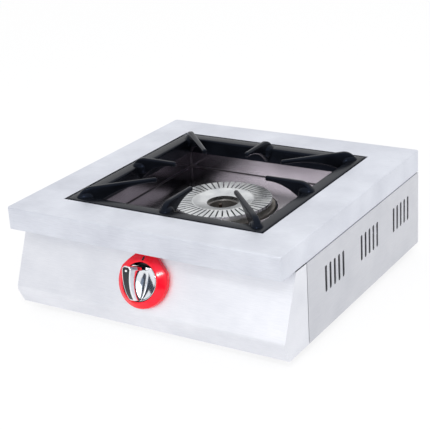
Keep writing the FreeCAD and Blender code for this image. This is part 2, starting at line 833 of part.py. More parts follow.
def make_drip_tray():
    """Deep drawn tray: flange on the ledge, rounded corners, and a lipped hole round the burner."""
    bottom = f"({TRAY_FLOOR} - tray_sheet)"
    top = f"({LEDGE_TOP} + tray_sheet)"
    outer = square("tray_block", TRAY, bottom, top)
    outer = rounded("tray_outer", outer, ("tray_corner", upright), ("tray_corner", level_at(bottom)))
    flange = square("tray_flange", "(support_size / 2 - tray_flange_inset)", LEDGE_TOP, top)
    inner = square("tray_room_block", f"({TRAY} - tray_sheet)", TRAY_FLOOR, f"({top} + tray_sheet)")
    corner = "tray_corner - tray_sheet"
    inner = rounded("tray_room", inner, (corner, upright), (corner, level_at(TRAY_FLOOR)))
    hole = "(body_radius + tray_hole_gap)"
    place = ("burner_x", "burner_y", bottom)
    lip = cylinder("tray_lip", f"{hole} + tray_sheet", "tray_sheet + tray_lip", place)
    bore = cylinder("tray_bore", hole, "2 * tray_sheet + tray_lip", place)
    basin = cut("tray_basin", fuse("tray_shell", outer, flange), inner)
    node("drip_tray", cut("tray", fuse("tray_with_lip", basin, lip), bore))


def finger(name, angle, tip, hump, foot, wall, bite, under_radius):
    """One finger of the pan support: a fin that narrows to its tip, on a wider arched root."""
    bottom = f"({WALL_BOTTOM} + finger_bottom_rise)"
    sunk = "(rim_top - finger_bite / 2)"
    fin = prism(
        f"{name}_side",
        "XZ_Plane",
        [
            (tip, f"({FINGER_TOP} - finger_tip_height)"),
            (wall, bottom),
            (bite, bottom),
            (bite, sunk),
            (foot, sunk),
            (foot, "rim_top"),
            (hump, FINGER_TOP),
            (f"({tip} + finger_tip_round)", FINGER_TOP),
            (tip, f"({FINGER_TOP} - finger_tip_round)"),
        ],
        "finger_root_width",
        arcs={0: (under_radius, -1), 5: ("finger_hump_radius", 1), 7: ("finger_tip_round", 1)},
    )
    plan = prism(
        f"{name}_plan",
        "XY_Plane",
        [
            (tip, "-finger_tip_width / 2"),
            (foot, "-finger_root_width / 2"),
            (foot, "finger_root_width / 2"),
            (tip, "finger_tip_width / 2"),
        ],
        f"2 * {FINGER_TOP}",
    )
    root_bottom = f"({WALL_BOTTOM} + root_bottom_rise)"
    root = prism(
        f"{name}_root",
        "XZ_Plane",
        [
            (f"({wall} - root_reach)", "(rim_top - root_rise)"),
            (wall, root_bottom),
            (bite, root_bottom),
            (bite, sunk),
            (f"({foot} + root_foot)", sunk),
            (f"({foot} + root_foot)", "rim_top"),
            (f"({wall} + root_foot)", "(rim_top + root_rise)"),
        ],
        "root_width",
        arcs={5: ("root_radius", 1), 6: ("root_radius", 1)},
    )
    whole = fuse(name, common(f"{name}_fin", fin, plan), root)
    whole.Placement = FreeCAD.Placement(FreeCAD.Vector(), FreeCAD.Rotation(FreeCAD.Vector(0, 0, 1), angle))
    return whole


def make_pan_support():
    """Cast iron square: flange in the recess, a wall inside the tray, and eight fingers."""
    low = f"({LEDGE_TOP} + tray_sheet)"
    flange = rounded_square("support_flange", "(support_size / 2)", low, "rim_top", "support_flange_corner")
    wall = rounded_square("support_skirt", WALL_OUT, WALL_BOTTOM, "rim_top", "support_wall_corner")
    room = rounded_square(
        "support_room", WALL_IN, f"({WALL_BOTTOM} - sheet)", "(rim_top + sheet)", "support_inner_corner"
    )
    frame = cut("support_frame", fuse("support_ring", flange, wall), room)
    corner_wall = f"({WALL_IN} * sqrt(2) - support_inner_corner * (sqrt(2) - 1))"
    wall_bite = f"({WALL_IN} + finger_bite)"
    corner_bite = f"({WALL_OUT} * sqrt(2) - root_width / 2 - support_wall_gap)"
    fingers = []
    for quarter in range(4):
        middle = ("finger_tip", "finger_hump", "finger_foot", WALL_IN, wall_bite, "finger_under_radius")
        corner = ("corner_tip", "corner_hump", "corner_foot", corner_wall, corner_bite, "corner_under_radius")
        fingers.append(finger(f"finger_middle_{quarter}", 90 * quarter, *middle))
        fingers.append(finger(f"finger_corner_{quarter}", 90 * quarter + 45, *corner))
    node("pan_support", fuse("support_casting", frame, *fingers))


def make_burner_cap():
    """Slotted cap: flat band, dished middle, skirt with a spigot, and a collar round the hole."""
    ceiling = "(cap_height - cap_band)"
    body = turned(
        "cap_turned",
        [
            ("cap_hole", "0"),
            ("cap_hole", "(cap_height - cap_dish)"),
            ("cap_dish_radius", "cap_height"),
            ("cap_radius", "cap_height"),
            ("cap_radius", ceiling),
            ("cap_skirt_radius", ceiling),
            ("cap_skirt_radius", "0"),
            ("cap_spigot_radius", "0"),
            ("cap_spigot_radius", "-cap_spigot_depth"),
            ("cap_skirt_inner", "-cap_spigot_depth"),
            ("cap_skirt_inner", ceiling),
            ("cap_dish_radius", ceiling),
            ("(cap_hole + cap_collar)", "(cap_height - cap_dish - cap_band)"),
            ("(cap_hole + cap_collar)", "0"),
        ],
    )
    doc.recompute()
    slot = draw(
        body,
        "XY_Plane",
        [
            ("cap_slot_start", "-cap_slot_width / 2"),
            ("cap_radius + cap_slot_width", "-cap_slot_width / 2"),
            ("cap_radius + cap_slot_width", "cap_slot_width / 2"),
            ("cap_slot_start", "cap_slot_width / 2"),
        ],
        {},
    )
    slot.setExpression("AttachmentOffset.Base.z", bound("cap_height"))
    pocket = body.newObject("PartDesign::Pocket", "cap_slot")
    pocket.Profile = slot
    set_sizes(pocket, Length="cap_slot_depth")
    slots = body.newObject("PartDesign::PolarPattern", "cap_slots")
    slots.Originals = [pocket]
    slots.Axis = ([item for item in body.Origin.OriginFeatures if item.Role == "Z_Axis"][0], [""])
    slots.Angle = 360
    set_sizes(slots, Occurrences="cap_slot_count")
    body.Tip = slots
    node("burner_cap", body, burner_frame)


def window_holes(name, at_x, length):
    """Round air windows on a circle about the mixing tube."""
    holes = []
    count = int(value("window_count"))
    for number in range(count):
        turn = 2 * math.pi * number / count
        at_y = f"window_circle * {math.cos(turn):.9f}"
        at_z = f"window_circle * {math.sin(turn):.9f} - mixer_drop"
        holes.append(cylinder(f"{name}_window_{number}", "window_radius", length, (at_x, at_y, at_z), "-x"))
    return holes


def make_burner_body():
    """Cast ring bowl with a bore through its middle and a mixing tube out to the left."""
    outer = turned(
        "bowl_outer",
        [
            ("bore_radius", "0"),
            ("body_radius", "0"),
            ("body_radius", "-body_lip"),
            ("bowl_top_radius", "-body_lip"),
            ("bowl_bottom_radius", "-bowl_waist"),
            ("bowl_bottom_radius", "-bowl_depth"),
            ("bore_radius", "-bowl_depth"),
        ],
    )
    chamber = turned(
        "bowl_chamber",
        [
            ("(bore_radius + bore_wall)", "sheet"),
            ("(bore_radius + bore_wall)", "(bowl_wall - bowl_depth)"),
            ("(bowl_bottom_radius - bowl_wall)", "(bowl_wall - bowl_depth)"),
            ("(bowl_bottom_radius - bowl_wall)", "-bowl_waist"),
            ("(bowl_top_radius - bowl_wall)", "-body_lip"),
            ("(bowl_top_radius - bowl_wall)", "sheet"),
        ],
    )
    root = "(bowl_bottom_radius - bowl_wall / 2)"
    level = ("0", "-mixer_drop")
    tube = cylinder("mixer_tube", "mixer_radius", f"mixer_reach - {root}", (f"-{root}", *level), "-x")
    start = "(bowl_bottom_radius - 2 * bowl_wall)"
    length = f"mixer_reach - mouth_plate - {start}"
    bore = cylinder("mixer_bore", "mixer_radius - mixer_wall", length, (f"-{start}", *level), "-x")
    inside = "-(mixer_reach - 2 * mouth_plate)"
    size = ("nozzle_radius + nozzle_fit", "3 * mouth_plate")
    nozzle = cylinder("mixer_nozzle_hole", *size, (inside, *level), "-x")
    windows = window_holes("mixer", inside, "3 * mouth_plate")
    screws = []
    for side, sign in (("front", "-"), ("back", "")):
        place = ("0", f"{sign}bracket_screw_reach", "-bowl_depth - sheet")
        screws.append(cylinder(f"bowl_screw_hole_{side}", "tapping_radius", "bowl_wall", place))
    solid = fuse("burner_solid", outer, tube)
    node("burner_body", cut("burner_casting", solid, chamber, bore, nozzle, *windows, *screws), burner_frame)


def make_burner_bracket():
    """Bridge under the bowl that stands on the base, with its two screws up into the bowl."""
    top = "(-bowl_depth)"
    half = "(bracket_span / 2)"
    bridge = prism(
        "bridge",
        "XZ_Plane",
        [
            (f"-{half} - bracket_foot", BURNER_BASE),
            (f"-{half} + bracket_sheet", BURNER_BASE),
            (f"-{half} + bracket_sheet", f"{top} - bracket_sheet"),
            (f"{half} - bracket_sheet", f"{top} - bracket_sheet"),
            (f"{half} - bracket_sheet", BURNER_BASE),
            (f"{half} + bracket_foot", BURNER_BASE),
            (f"{half} + bracket_foot", f"{BURNER_BASE} + bracket_sheet"),
            (half, f"{BURNER_BASE} + bracket_sheet"),
            (half, top),
            (f"-{half}", top),
            (f"-{half}", f"{BURNER_BASE} + bracket_sheet"),
            (f"-{half} - bracket_foot", f"{BURNER_BASE} + bracket_sheet"),
        ],
        "2 * (bracket_screw_reach + screw_head_radius + bracket_sheet)",
    )
    low = f"{top} - 2 * bracket_sheet"
    bore = cylinder("bridge_bore", "bore_radius", "3 * bracket_sheet", ("0", "0", low))
    holes, screws = [], []
    for side, sign in (("front", "-"), ("back", "")):
        place = ("0", f"{sign}bracket_screw_reach", low)
        size = ("tapping_radius + screw_clearance", "3 * bracket_sheet")
        holes.append(cylinder(f"bridge_hole_{side}", *size, place))
        under = ("0", f"{sign}bracket_screw_reach", f"{top} - bracket_sheet - tapping_head_height")
        head = cylinder(f"bridge_head_{side}", "tapping_head_radius", "tapping_head_height", under)
        length = "tapping_head_height + bracket_sheet + bowl_wall - sheet"
        shank = cylinder(f"bridge_shank_{side}", "tapping_radius", length, under)
        screws.append(fuse(f"bridge_screw_{side}", head, shank))
    node("burner_bracket", cut("burner_bridge", bridge, bore, *holes), burner_frame)
    node("burner_screws", group("bridge_screws", screws), burner_frame)


def make_air_shutter():
    """Disc with windows that turns on the injector's nose in front of the mouth of the mixing tube."""
    face = "-(mixer_reach + shutter_gap)"
    disc = cylinder("shutter_disc", "mixer_radius", "shutter_sheet", (face, "0", "-mixer_drop"), "-x")
    tab = box(
        "shutter_tab",
        ("shutter_sheet", "shutter_tab_width", "mixer_radius + shutter_tab"),
        (f"{face} - shutter_sheet", "-shutter_tab_width / 2", "-mixer_drop - mixer_radius - shutter_tab"),
    )
    start = "-(mixer_reach - shutter_sheet)"
    size = ("nozzle_radius + nozzle_fit", "4 * shutter_sheet")
    hole = cylinder("shutter_hole", *size, (start, "0", "-mixer_drop"), "-x")
    windows = window_holes("shutter", start, "4 * shutter_sheet")
    shutter = cut("shutter", fuse("shutter_blank", disc, tab), hole, *windows)
    node("air_shutter", shutter, burner_frame)


def make_injector():
    """Brass jet: nose in the mouth of the mixing tube, hexagon, and a thread into the holder."""
    tip = "-(mixer_reach - mouth_plate - nozzle_reach)"
    level = ("0", "-mixer_drop")
    nose = cylinder("nozzle_nose", "nozzle_radius", f"{NOZZLE_X} + {tip}", (tip, *level), "-x")
    hexed = hexagon("nozzle_hexagon", "nozzle_hex", "nozzle_hex_length", (f"-{NOZZLE_X}", *level), "-x")
    thread = cylinder("nozzle_screw", "nozzle_thread", "nozzle_thread_length", (f"-{HOLDER_X}", *level), "-x")
    length = f"{HOLDER_X} + nozzle_thread_length + {tip}"
    jet = cylinder("nozzle_jet", "jet_radius", length, (tip, *level), "-x")
    node("injector", cut("nozzle", fuse("nozzle_solid", nose, hexed, thread), jet), burner_frame)

    half = "(holder_size / 2)"
    block = box(
        "holder_block",
        ("holder_size", "holder_size", "holder_size"),
        (f"-{HOLDER_X} - holder_size", f"-{half}", f"-mixer_drop - {half}"),
    )
    middle = f"-({HOLDER_X} + {half})"
    port = (middle, f"-({half} + holder_boss_length)", "-mixer_drop")
    boss = cylinder("holder_boss", "holder_boss_radius", "holder_boss_length", port, "+y")
    face = (f"-{HOLDER_X}", *level)
    socket = cylinder("holder_socket", "nozzle_thread", "nozzle_thread_length", face, "-x")
    size = ("holder_bore", f"{half} + holder_boss_length + holder_bore")
    way = cylinder("holder_way", *size, port, "+y")
    link = cylinder("holder_link", "holder_bore", f"{half} + holder_bore", face, "-x")
    holder = cut("holder", fuse("holder_solid", block, boss), socket, way, link)
    node("injector_holder", holder, burner_frame)

    top = f"(-mixer_drop - {half})"
    right = f"(-{HOLDER_X})"
    left = f"({right} - holder_size)"
    stand = prism(
        "injector_stand",
        "XZ_Plane",
        [
            (right, f"{top} - bracket_sheet"),
            (right, top),
            (left, top),
            (left, f"{BURNER_BASE} + bracket_sheet"),
            (f"{left} - injector_foot", f"{BURNER_BASE} + bracket_sheet"),
            (f"{left} - injector_foot", BURNER_BASE),
            (f"{left} + bracket_sheet", BURNER_BASE),
            (f"{left} + bracket_sheet", f"{top} - bracket_sheet"),
        ],
        "holder_size",
    )
    node("injector_bracket", stand, burner_frame)


def make_valve():
    """Gas tap behind the panel: body with a taper bore, plug, spindle, spring, nut and safety magnet."""
    port = "-port_depth"
    block = cylinder("valve_block", "valve_radius", "valve_depth - sheet", ("0", "0", "-valve_depth"))
    neck = cylinder("valve_neck", "neck_radius", "neck_height + sheet", ("0", "0", "-sheet"))
    outlet = cylinder("valve_outlet", "port_boss_radius", "port_boss_reach", ("0", "0", port), "-x")
    inlet = cylinder("valve_inlet", "port_boss_radius", "port_boss_reach", ("0", "0", port), "+x")
    plug_end = "-(rotor_start + rotor_length)"
    low, high = "rotor_bottom_radius + rotor_fit", "rotor_top_radius + rotor_fit"
    taper = cone("valve_taper", low, high, "rotor_length", ("0", "0", plug_end))
    size = ("chamber_radius", "rotor_start - chamber_top")
    chamber = cylinder("valve_chamber", *size, ("0", "0", "-rotor_start"))
    size = ("spindle_radius + spindle_fit", "chamber_top + neck_height")
    throat = cylinder("valve_throat", *size, ("0", "0", "-chamber_top"))
    length = "2 * port_boss_reach"
    ports = cylinder("valve_ports", "port_radius", length, ("-port_boss_reach", "0", port), "+x")
    solid = fuse("valve_solid", block, neck, outlet, inlet)
    node("gas_valve_body", cut("valve_casting", solid, taper, chamber, throat, ports), knob_frame)

    plug = cone("rotor_cone", "rotor_bottom_radius", "rotor_top_radius", "rotor_length", ("0", "0", plug_end))
    size = ("spindle_radius + spindle_fit", "socket_depth - rotor_start")
    socket = cylinder("rotor_socket", *size, ("0", "0", "-socket_depth"))
    way = cylinder("rotor_way", "port_radius", "2 * rotor_top_radius", ("-rotor_top_radius", "0", port), "+x")
    node("valve_rotor", cut("rotor", plug, socket, way), knob_frame)

    length = "spindle_depth + neck_height"
    stem = cylinder("spindle_stem", "spindle_radius", length, ("0", "0", "-spindle_depth"))
    length = "spindle_tip_end - neck_height"
    tip = cylinder("spindle_tip", "spindle_tip_radius", length, ("0", "0", "neck_height"))
    collar_low = "-(spindle_collar_top + spindle_collar_height)"
    collar = cylinder("spindle_ring", "spindle_collar", "spindle_collar_height", ("0", "0", collar_low))
    node("valve_spindle", fuse("spindle", stem, tip, collar), knob_frame)

    nut = hexagon("valve_nut_block", "valve_nut_circumradius", "neck_height", ("0", "0", "0"))
    thread = cylinder("valve_nut_thread", "neck_radius", "neck_height", ("0", "0", "0"))
    node("valve_nut", cut("valve_lock", nut, thread), knob_frame)

    can = cylinder("magnet_can", "magnet_radius", "magnet_length", ("0", "0", f"-{MAGNET_END}"))
    stub = cylinder("magnet_stub", "magnet_stub_radius", "magnet_stub_length", ("0", "0", f"-{VALVE_END}"))
    node("safety_magnet", fuse("magnet", can, stub), knob_frame)

    low = "(spring_seat_gap - rotor_start)"
    size = f"{collar_low} - spring_seat_gap - {low}"
    sleeve = cylinder("spring_outside", "spring_radius + spring_wire", size, ("0", "0", low))
    inside = cylinder("spring_inside", "spring_radius", size, ("0", "0", low))
    node("valve_spring", cut("spring", sleeve, inside), knob_frame)


def pipe_nut(name, pipe, end, axis):
    """A nut round the end of the feed or the supply pipe."""
    at = (end.x, end.y, end.z)
    block = hexagon(f"{name}_block", f"{pipe}_nut_circumradius", "pipe_nut_height", at, axis)
    hole = cylinder(f"{name}_hole", f"{pipe}_radius + pipe_nut_fit", "pipe_nut_height", at, axis)
    return cut(name, block, hole)


def make_pipes():
    """Feed pipe from the valve to the injector, supply pipe from the inlet, and a nut at each end."""
    bend, wall = value("pipe_bend"), value("pipe_wall")
    outlet = knob_frame.multVec(vector("-port_boss_reach", "0", "-port_depth"))
    holder_x = value(f"burner_x - {HOLDER_X} - holder_size / 2")
    holder_y = value("burner_y - holder_size / 2 - holder_boss_length")
    holder_z = value(f"{SEAT} - mixer_drop")
    straight = 2 * bend
    feed = [
        outlet,
        FreeCAD.Vector(holder_x, outlet.y, outlet.z),
        FreeCAD.Vector(holder_x, holder_y - straight, holder_z),
        FreeCAD.Vector(holder_x, holder_y, holder_z),
    ]
    node("feed_pipe", bent_tube("feed", feed, bend, value("feed_radius"), wall))
    nuts = [pipe_nut("feed_nut_valve", "feed", outlet, "-x")]
    nuts.append(pipe_nut("feed_nut_holder", "feed", feed[-1], "-y"))
    node("feed_nuts", group("feed_nut_set", nuts))

    inlet = knob_frame.multVec(vector("port_boss_reach", "0", "-port_depth"))
    end = vector("inlet_x", f"{REAR_FACE} - sheet - inlet_hex_length - inlet_boss_length", "inlet_height")
    supply = [
        end,
        FreeCAD.Vector(end.x, inlet.y + 3 * bend, end.z),
        FreeCAD.Vector(end.x, inlet.y, inlet.z),
        inlet,
    ]
    node("supply_pipe", bent_tube("supply", supply, bend, value("supply_radius"), wall))
    nuts = [pipe_nut("supply_nut_valve", "supply", inlet, "+x")]
    nuts.append(pipe_nut("supply_nut_inlet", "supply", end, "-y"))
    node("supply_nuts", group("supply_nut_set", nuts))


def make_gas_inlet():
    """Shank through the back, a relief groove, the hose thread, a hexagon inside and a lock nut outside."""
    inner = f"({REAR_FACE} - sheet)"
    level = "inlet_height"
    inside = ("inlet_x", inner, level)
    shank_length = "(sheet + lock_nut_height + inlet_shank_end)"
    shank = cylinder("inlet_shank", "inlet_shank_radius", shank_length, inside, "+y")
    core = cylinder("inlet_core", "inlet_relief_radius", "sheet + inlet_reach", inside, "+y")
    thread_start = f"({inner} + {shank_length} + inlet_relief_length)"
    thread_length = f"sheet + inlet_reach - {shank_length} - inlet_relief_length"
    outside = ("inlet_x", thread_start, level)
    hose_thread = cylinder("inlet_thread", "inlet_radius", thread_length, outside, "+y")
    hexed = hexagon("inlet_hexagon", "inlet_hex", "inlet_hex_length", inside, "-y")
    start = f"{inner} - inlet_hex_length - inlet_boss_length"
    boss = cylinder("inlet_boss", "inlet_boss_radius", "inlet_boss_length", ("inlet_x", start, level), "+y")
    length = "inlet_boss_length + inlet_hex_length + sheet + inlet_reach"
    bore = cylinder("inlet_way", "inlet_bore", length, ("inlet_x", start, level), "+y")
    solid = fuse("inlet_solid", shank, core, hose_thread, hexed, boss)
    node("gas_inlet", cut("inlet", solid, bore))
    place = ("inlet_x", REAR_FACE, level)
    nut = hexagon("lock_nut_block", "lock_nut_circumradius", "lock_nut_height", place, "+y")
    thread = cylinder("lock_nut_thread", "inlet_shank_radius", "lock_nut_height", place, "+y")
    node("inlet_lock_nut", cut("lock_nut", nut, thread))


def make_thermocouple():
    """Flame probe up the bore of the burner, its clip under the bridge, and its lead to the magnet."""
    under = "(-bowl_depth - bracket_sheet)"
    at_x = "(-knob_offset - burner_x)"
    low = f"({under} - probe_below)"
    rod = cylinder("probe_rod", "probe_radius", f"probe_above - {low}", (at_x, "0", low))
    collar_low = f"{under} - clip_sheet - probe_collar_height"
    collar = cylinder("probe_ring", "probe_collar_radius", "probe_collar_height", (at_x, "0", collar_low))
    node("thermocouple", fuse("probe", rod, collar), burner_frame)
    strip = box(
        "clip_strip",
        ("clip_width", "clip_length", "clip_sheet"),
        (f"{at_x} - clip_width / 2", "-clip_length / 2", f"{under} - clip_sheet"),
    )
    size = ("probe_radius + probe_fit", "3 * clip_sheet")
    hole = cylinder("clip_hole", *size, (at_x, "0", f"{under} - 2 * clip_sheet"))
    node("thermocouple_clip", cut("clip", strip, hole), burner_frame)

    start = burner_frame.multVec(vector(at_x, "0", low))
    stub = knob_frame.multVec(vector("0", "0", f"-{VALVE_END}"))
    inward = knob_frame.Rotation.multVec(FreeCAD.Vector(0, 0, -1))
    floor = value("lead_floor")
    meet = stub + inward * ((stub.z - floor) / -inward.z)
    places = [start, FreeCAD.Vector(start.x, start.y, floor), FreeCAD.Vector(start.x, meet.y, floor), stub]
    node("thermocouple_lead", bent_tube("lead", places, value("lead_bend"), value("lead_radius"), 0))


def make_bezel():
    """Red collar on the panel: a round wall with flats on top, a slope to the knob's hole, a floor round the
    valve nut, and two pegs."""
    wall = cylinder("bezel_wall_block", "bezel_radius", "bezel_wall", ("0", "bezel_rise", "0"))
    rings = []
    for name, radius, rise, height in (
        ("bezel_wall_ring", "bezel_radius", "bezel_rise", "bezel_wall"),
        ("bezel_lip_ring", "bezel_lip_radius", "0", "bezel_height"),
    ):
        ring = doc.addObject("Part::Circle", name)
        set_sizes(ring, Radius=radius)
        set_place(ring, ("0", rise, height))
        rings.append(ring)
    slope = doc.addObject("Part::Loft", "bezel_slope")
    slope.Sections = rings
    slope.Solid = True
    slope.Ruled = True
    hole = cylinder("bezel_hole", "bezel_bore", "2 * bezel_height", ("0", "0", "bezel_floor"))
    nut_room = "valve_nut_circumradius + bezel_nut_gap"
    nut_hole = cylinder("bezel_nut_hole", nut_room, "2 * bezel_height", ("0", "0", "-bezel_height / 2"))
    flats = []
    for name, turn, reach in (
        ("top", 0, "bezel_flat"),
        ("left", BEZEL_FLAT_TURN, "bezel_side_flat"),
        ("right", -BEZEL_FLAT_TURN, "bezel_side_flat"),
    ):
        block = doc.addObject("Part::Box", f"bezel_{name}_flat")
        set_sizes(block, Length="2 * bezel_radius", Width="bezel_radius", Height="2 * bezel_height")
        turned_to = FreeCAD.Rotation(FreeCAD.Vector(0, 0, 1), turn)
        beside = FreeCAD.Placement(vector("-bezel_radius", reach, "-bezel_height / 2"), FreeCAD.Rotation())
        block.Placement = FreeCAD.Placement(vector("0", "bezel_rise", "0"), turned_to).multiply(beside)
        flats.append(block)
    pegs = []
    for side, sign in (("left", "-"), ("right", "")):
        place = (f"{sign}peg_reach", "0", "-peg_length")
        pegs.append(cylinder(f"bezel_peg_{side}", "peg_radius", "peg_length", place))
    run = value("bezel_rise + bezel_radius - bezel_lip_radius")
    fall = math.degrees(math.atan2(value("bezel_height - bezel_wall"), run))
    middle_y = value("(bezel_rise + bezel_flat + bezel_bore) / 2")
    middle_z = value("bezel_height") - (middle_y - value("bezel_lip_radius")) * math.tan(math.radians(fall))
    tilt_down = FreeCAD.Rotation(FreeCAD.Vector(1, 0, 0), -fall)
    corner = vector("-mark_width / 2", "-mark_length / 2", "-mark_depth")
    offset = FreeCAD.Placement(corner, FreeCAD.Rotation())
    mark_frame = FreeCAD.Placement(FreeCAD.Vector(0, middle_y, middle_z), tilt_down).multiply(offset)
    marks = []
    for name in ("mark_slot", "mark_inlay"):
        block = doc.addObject("Part::Box", name)
        set_sizes(block, Length="mark_width", Width="mark_length", Height="mark_depth")
        block.Placement = mark_frame
        marks.append(block)
    collar = cut("bezel_cut", fuse("bezel_round", wall, slope), hole, nut_hole, *flats)
    node("knob_bezel", cut("bezel", fuse("bezel_solid", collar, *pegs), marks[0]), knob_frame)
    node("bezel_mark", marks[1], knob_frame.multiply(mark_frame))


def fin_plan(name, edge):
    """Plan of the fin, set in from its edge: wide and chamfered at the pointer end, narrow at the tail."""
    head, tail = f"(fin_head - {edge})", f"(fin_tail - {edge})"
    wide, narrow = f"(fin_head_width / 2 - {edge})", f"(fin_tail_width / 2 - {edge})"
    return prism(
        name,
        "XY_Plane",
        [
            (f"-{wide} + fin_head_chamfer", head),
            (f"-{wide}", f"({head} - fin_head_chamfer)"),
            (f"-{narrow}", f"-{tail}"),
            (narrow, f"-{tail}"),
            (wide, f"({head} - fin_head_chamfer)"),
            (f"{wide} - fin_head_chamfer", head),
        ],
        "2 * fin_crown_radius",
    )


def crown(name, depth, tag):
    """The convex top of the fin as a round bar across the knob, lowered by a depth."""
    place = ("-bezel_bore", "fin_crown_y", "-fin_crown_depth")
    return cylinder(f"{name}_{tag}", f"fin_crown_radius - {depth}", "2 * bezel_bore", place, "+x")


def make_knob():
    """Chrome knob: disc cut off at the pointer end, and a fin with a black face and a white dot."""
    disc = cylinder("knob_round", "bezel_bore - knob_gap", "knob_disc", ("0", "0", DISC_BOTTOM))
    size = ("2 * bezel_bore", "bezel_bore", "3 * knob_disc")
    end = box("knob_end_cut", size, ("-bezel_bore", "fin_head", f"{DISC_BOTTOM} - knob_disc"))
    disc = cut("knob_plate", disc, end)
    fin = common("fin_crowned", fin_plan("fin_plan", "0"), crown("fin", "0", "crown"))
    below = box(
        "fin_below",
        ("4 * bezel_bore", "4 * bezel_bore", "4 * fin_crown_radius"),
        ("-2 * bezel_bore", "-2 * bezel_bore", f"{DISC_BOTTOM} + knob_disc / 2 - 4 * fin_crown_radius"),
    )
    fin = cut("fin", fin, below)
    above = f"({DISC_BOTTOM} + knob_disc / 2)"
    faces = []
    for name in ("recess", "inlay", "dot"):
        plan = fin_plan(f"{name}_plan", "inlay_edge")
        crowned = common(f"{name}_crowned", plan, crown(name, "0", "top"))
        skin = cut(f"{name}_skin", crowned, crown(name, "inlay_depth", "low"))
        keep = box(
            f"{name}_above",
            ("4 * bezel_bore", "4 * bezel_bore", "2 * fin_crown_radius"),
            ("-2 * bezel_bore", "-2 * bezel_bore", above),
        )
        faces.append(common(f"{name}_face", skin, keep))
    place = ("0", "fin_head - dot_inset", above)
    length = "2 * fin_crown_radius"
    spots = [cylinder(f"dot_bar_{number}", "dot_radius", length, place) for number in range(2)]
    bore = cylinder(
        "knob_bore",
        "spindle_tip_radius + knob_fit",
        f"spindle_tip_end + knob_bore_margin - {DISC_BOTTOM}",
        ("0", "0", DISC_BOTTOM),
    )
    node("knob_body", cut("knob", fuse("knob_solid", disc, fin), faces[0], bore), knob_frame)
    node("knob_inlay", cut("inlay", faces[1], spots[0]), knob_frame)
    node("knob_dot", common("dot", faces[2], spots[1]), knob_frame)


make_top_frame()
make_front_panel()
make_side_panels()
make_rear_panel()
make_base_plate()
make_feet()
make_casing_screws()
make_drip_tray()
make_pan_support()
make_burner_cap()
make_burner_body()
make_burner_bracket()
make_air_shutter()
make_injector()
make_valve()
make_pipes()
make_gas_inlet()
make_thermocouple()
make_bezel()
make_knob()
doc.recompute()

failed = [item.Label for item in doc.Objects if "Invalid" in item.State or "Error" in item.State]
if failed:
    raise RuntimeError(f"not built: {failed}")
for label, item in nodes.items():
    if item.Shape.isNull() or not item.Shape.isValid() or not item.Shape.Solids:
        raise RuntimeError(f"{label} has no valid solid")

os.makedirs("parts", exist_ok=True)
for label, item in nodes.items():
    item.Shape.exportStep(f"parts/{label}.step")
    print(f"{label}: {len(item.Shape.Solids)} solids, {item.Shape.Volume:.1f} mm3")
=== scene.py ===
import math
from collections import namedtuple

import bmesh
import bpy
import numpy as np
from bpy.props import FloatProperty, FloatVectorProperty, PointerProperty
from mathutils import Matrix, Vector


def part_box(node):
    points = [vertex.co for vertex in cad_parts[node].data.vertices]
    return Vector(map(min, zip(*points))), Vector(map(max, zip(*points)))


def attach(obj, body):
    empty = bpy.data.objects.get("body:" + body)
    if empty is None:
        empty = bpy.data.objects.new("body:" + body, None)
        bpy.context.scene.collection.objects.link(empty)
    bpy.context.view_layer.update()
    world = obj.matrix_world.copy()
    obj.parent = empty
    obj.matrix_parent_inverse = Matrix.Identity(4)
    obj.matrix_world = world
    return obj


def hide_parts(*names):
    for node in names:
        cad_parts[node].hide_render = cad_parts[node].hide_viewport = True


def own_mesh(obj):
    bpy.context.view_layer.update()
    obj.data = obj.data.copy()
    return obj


bl_info = {
    "name": "Gas stove finish",
    "version": (1, 0, 0),
    "blender": (4, 5, 0),
    "location": "View3D > Sidebar > Gas stove",
    "description": "Finishes, cast and moulded pieces, and a plain studio for a single burner gas stove",
    "category": "Object",
}

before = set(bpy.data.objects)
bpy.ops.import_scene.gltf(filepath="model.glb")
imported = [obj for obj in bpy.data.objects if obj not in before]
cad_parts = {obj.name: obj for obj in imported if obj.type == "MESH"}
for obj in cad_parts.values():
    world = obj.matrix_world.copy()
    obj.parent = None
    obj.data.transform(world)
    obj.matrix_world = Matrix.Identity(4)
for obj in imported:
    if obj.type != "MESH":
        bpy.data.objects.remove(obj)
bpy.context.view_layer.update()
MM = 0.001

# Places that the pieces below share with the solids, in millimetres
KNOB_HEIGHT = 74.2
PANEL_SLOPE = 36 / 85
PANEL_TOP_Y, PANEL_TOP_Z = -164.0, 120.0
KNOB_PLACE = np.array([-2.5, PANEL_TOP_Y - (PANEL_TOP_Z - KNOB_HEIGHT) * PANEL_SLOPE, KNOB_HEIGHT])
KNOB_TILT = math.atan(PANEL_SLOPE)
KNOB_OUT = np.array([0, -math.cos(KNOB_TILT), math.sin(KNOB_TILT)])
BURNER_PLACE = np.array([2.0, 1.0, 109.0])
INLET_PLACE = (150.0, 48.0)
TRAY_INNER, TRAY_FLOOR = 132.9, 104.0

# Pan support: its heights, and a finger's distances from the middle to its tip, to where its top starts
# to fall, to its foot, to the wall and to the flange, with the radius of its underside
FLANGE_TOP, FINGER_TOP = 150.0, 162.0
Finger = namedtuple("Finger", "tip fall foot wall flange under_radius")
SIDE_FINGER = Finger(70.0, 121.0, 139.0, 126.9, 129.9, 66.0)
CORNER_FINGER = Finger(85.0, 170.0, 191.0, 178.2, 178.5, 130.0)

# Bezel: how far its circle lies above the knob's axis, that circle's radius, the bore, the lip, the height
# at the lip, and how far the slope falls from the lip to the circle
BEZEL_RISE, BEZEL_RADIUS = 2.4, 35.5
BEZEL_BORE, BEZEL_LIP = 24.5, 26.5
BEZEL_TOP, BEZEL_FALL = 13.5, 6.5

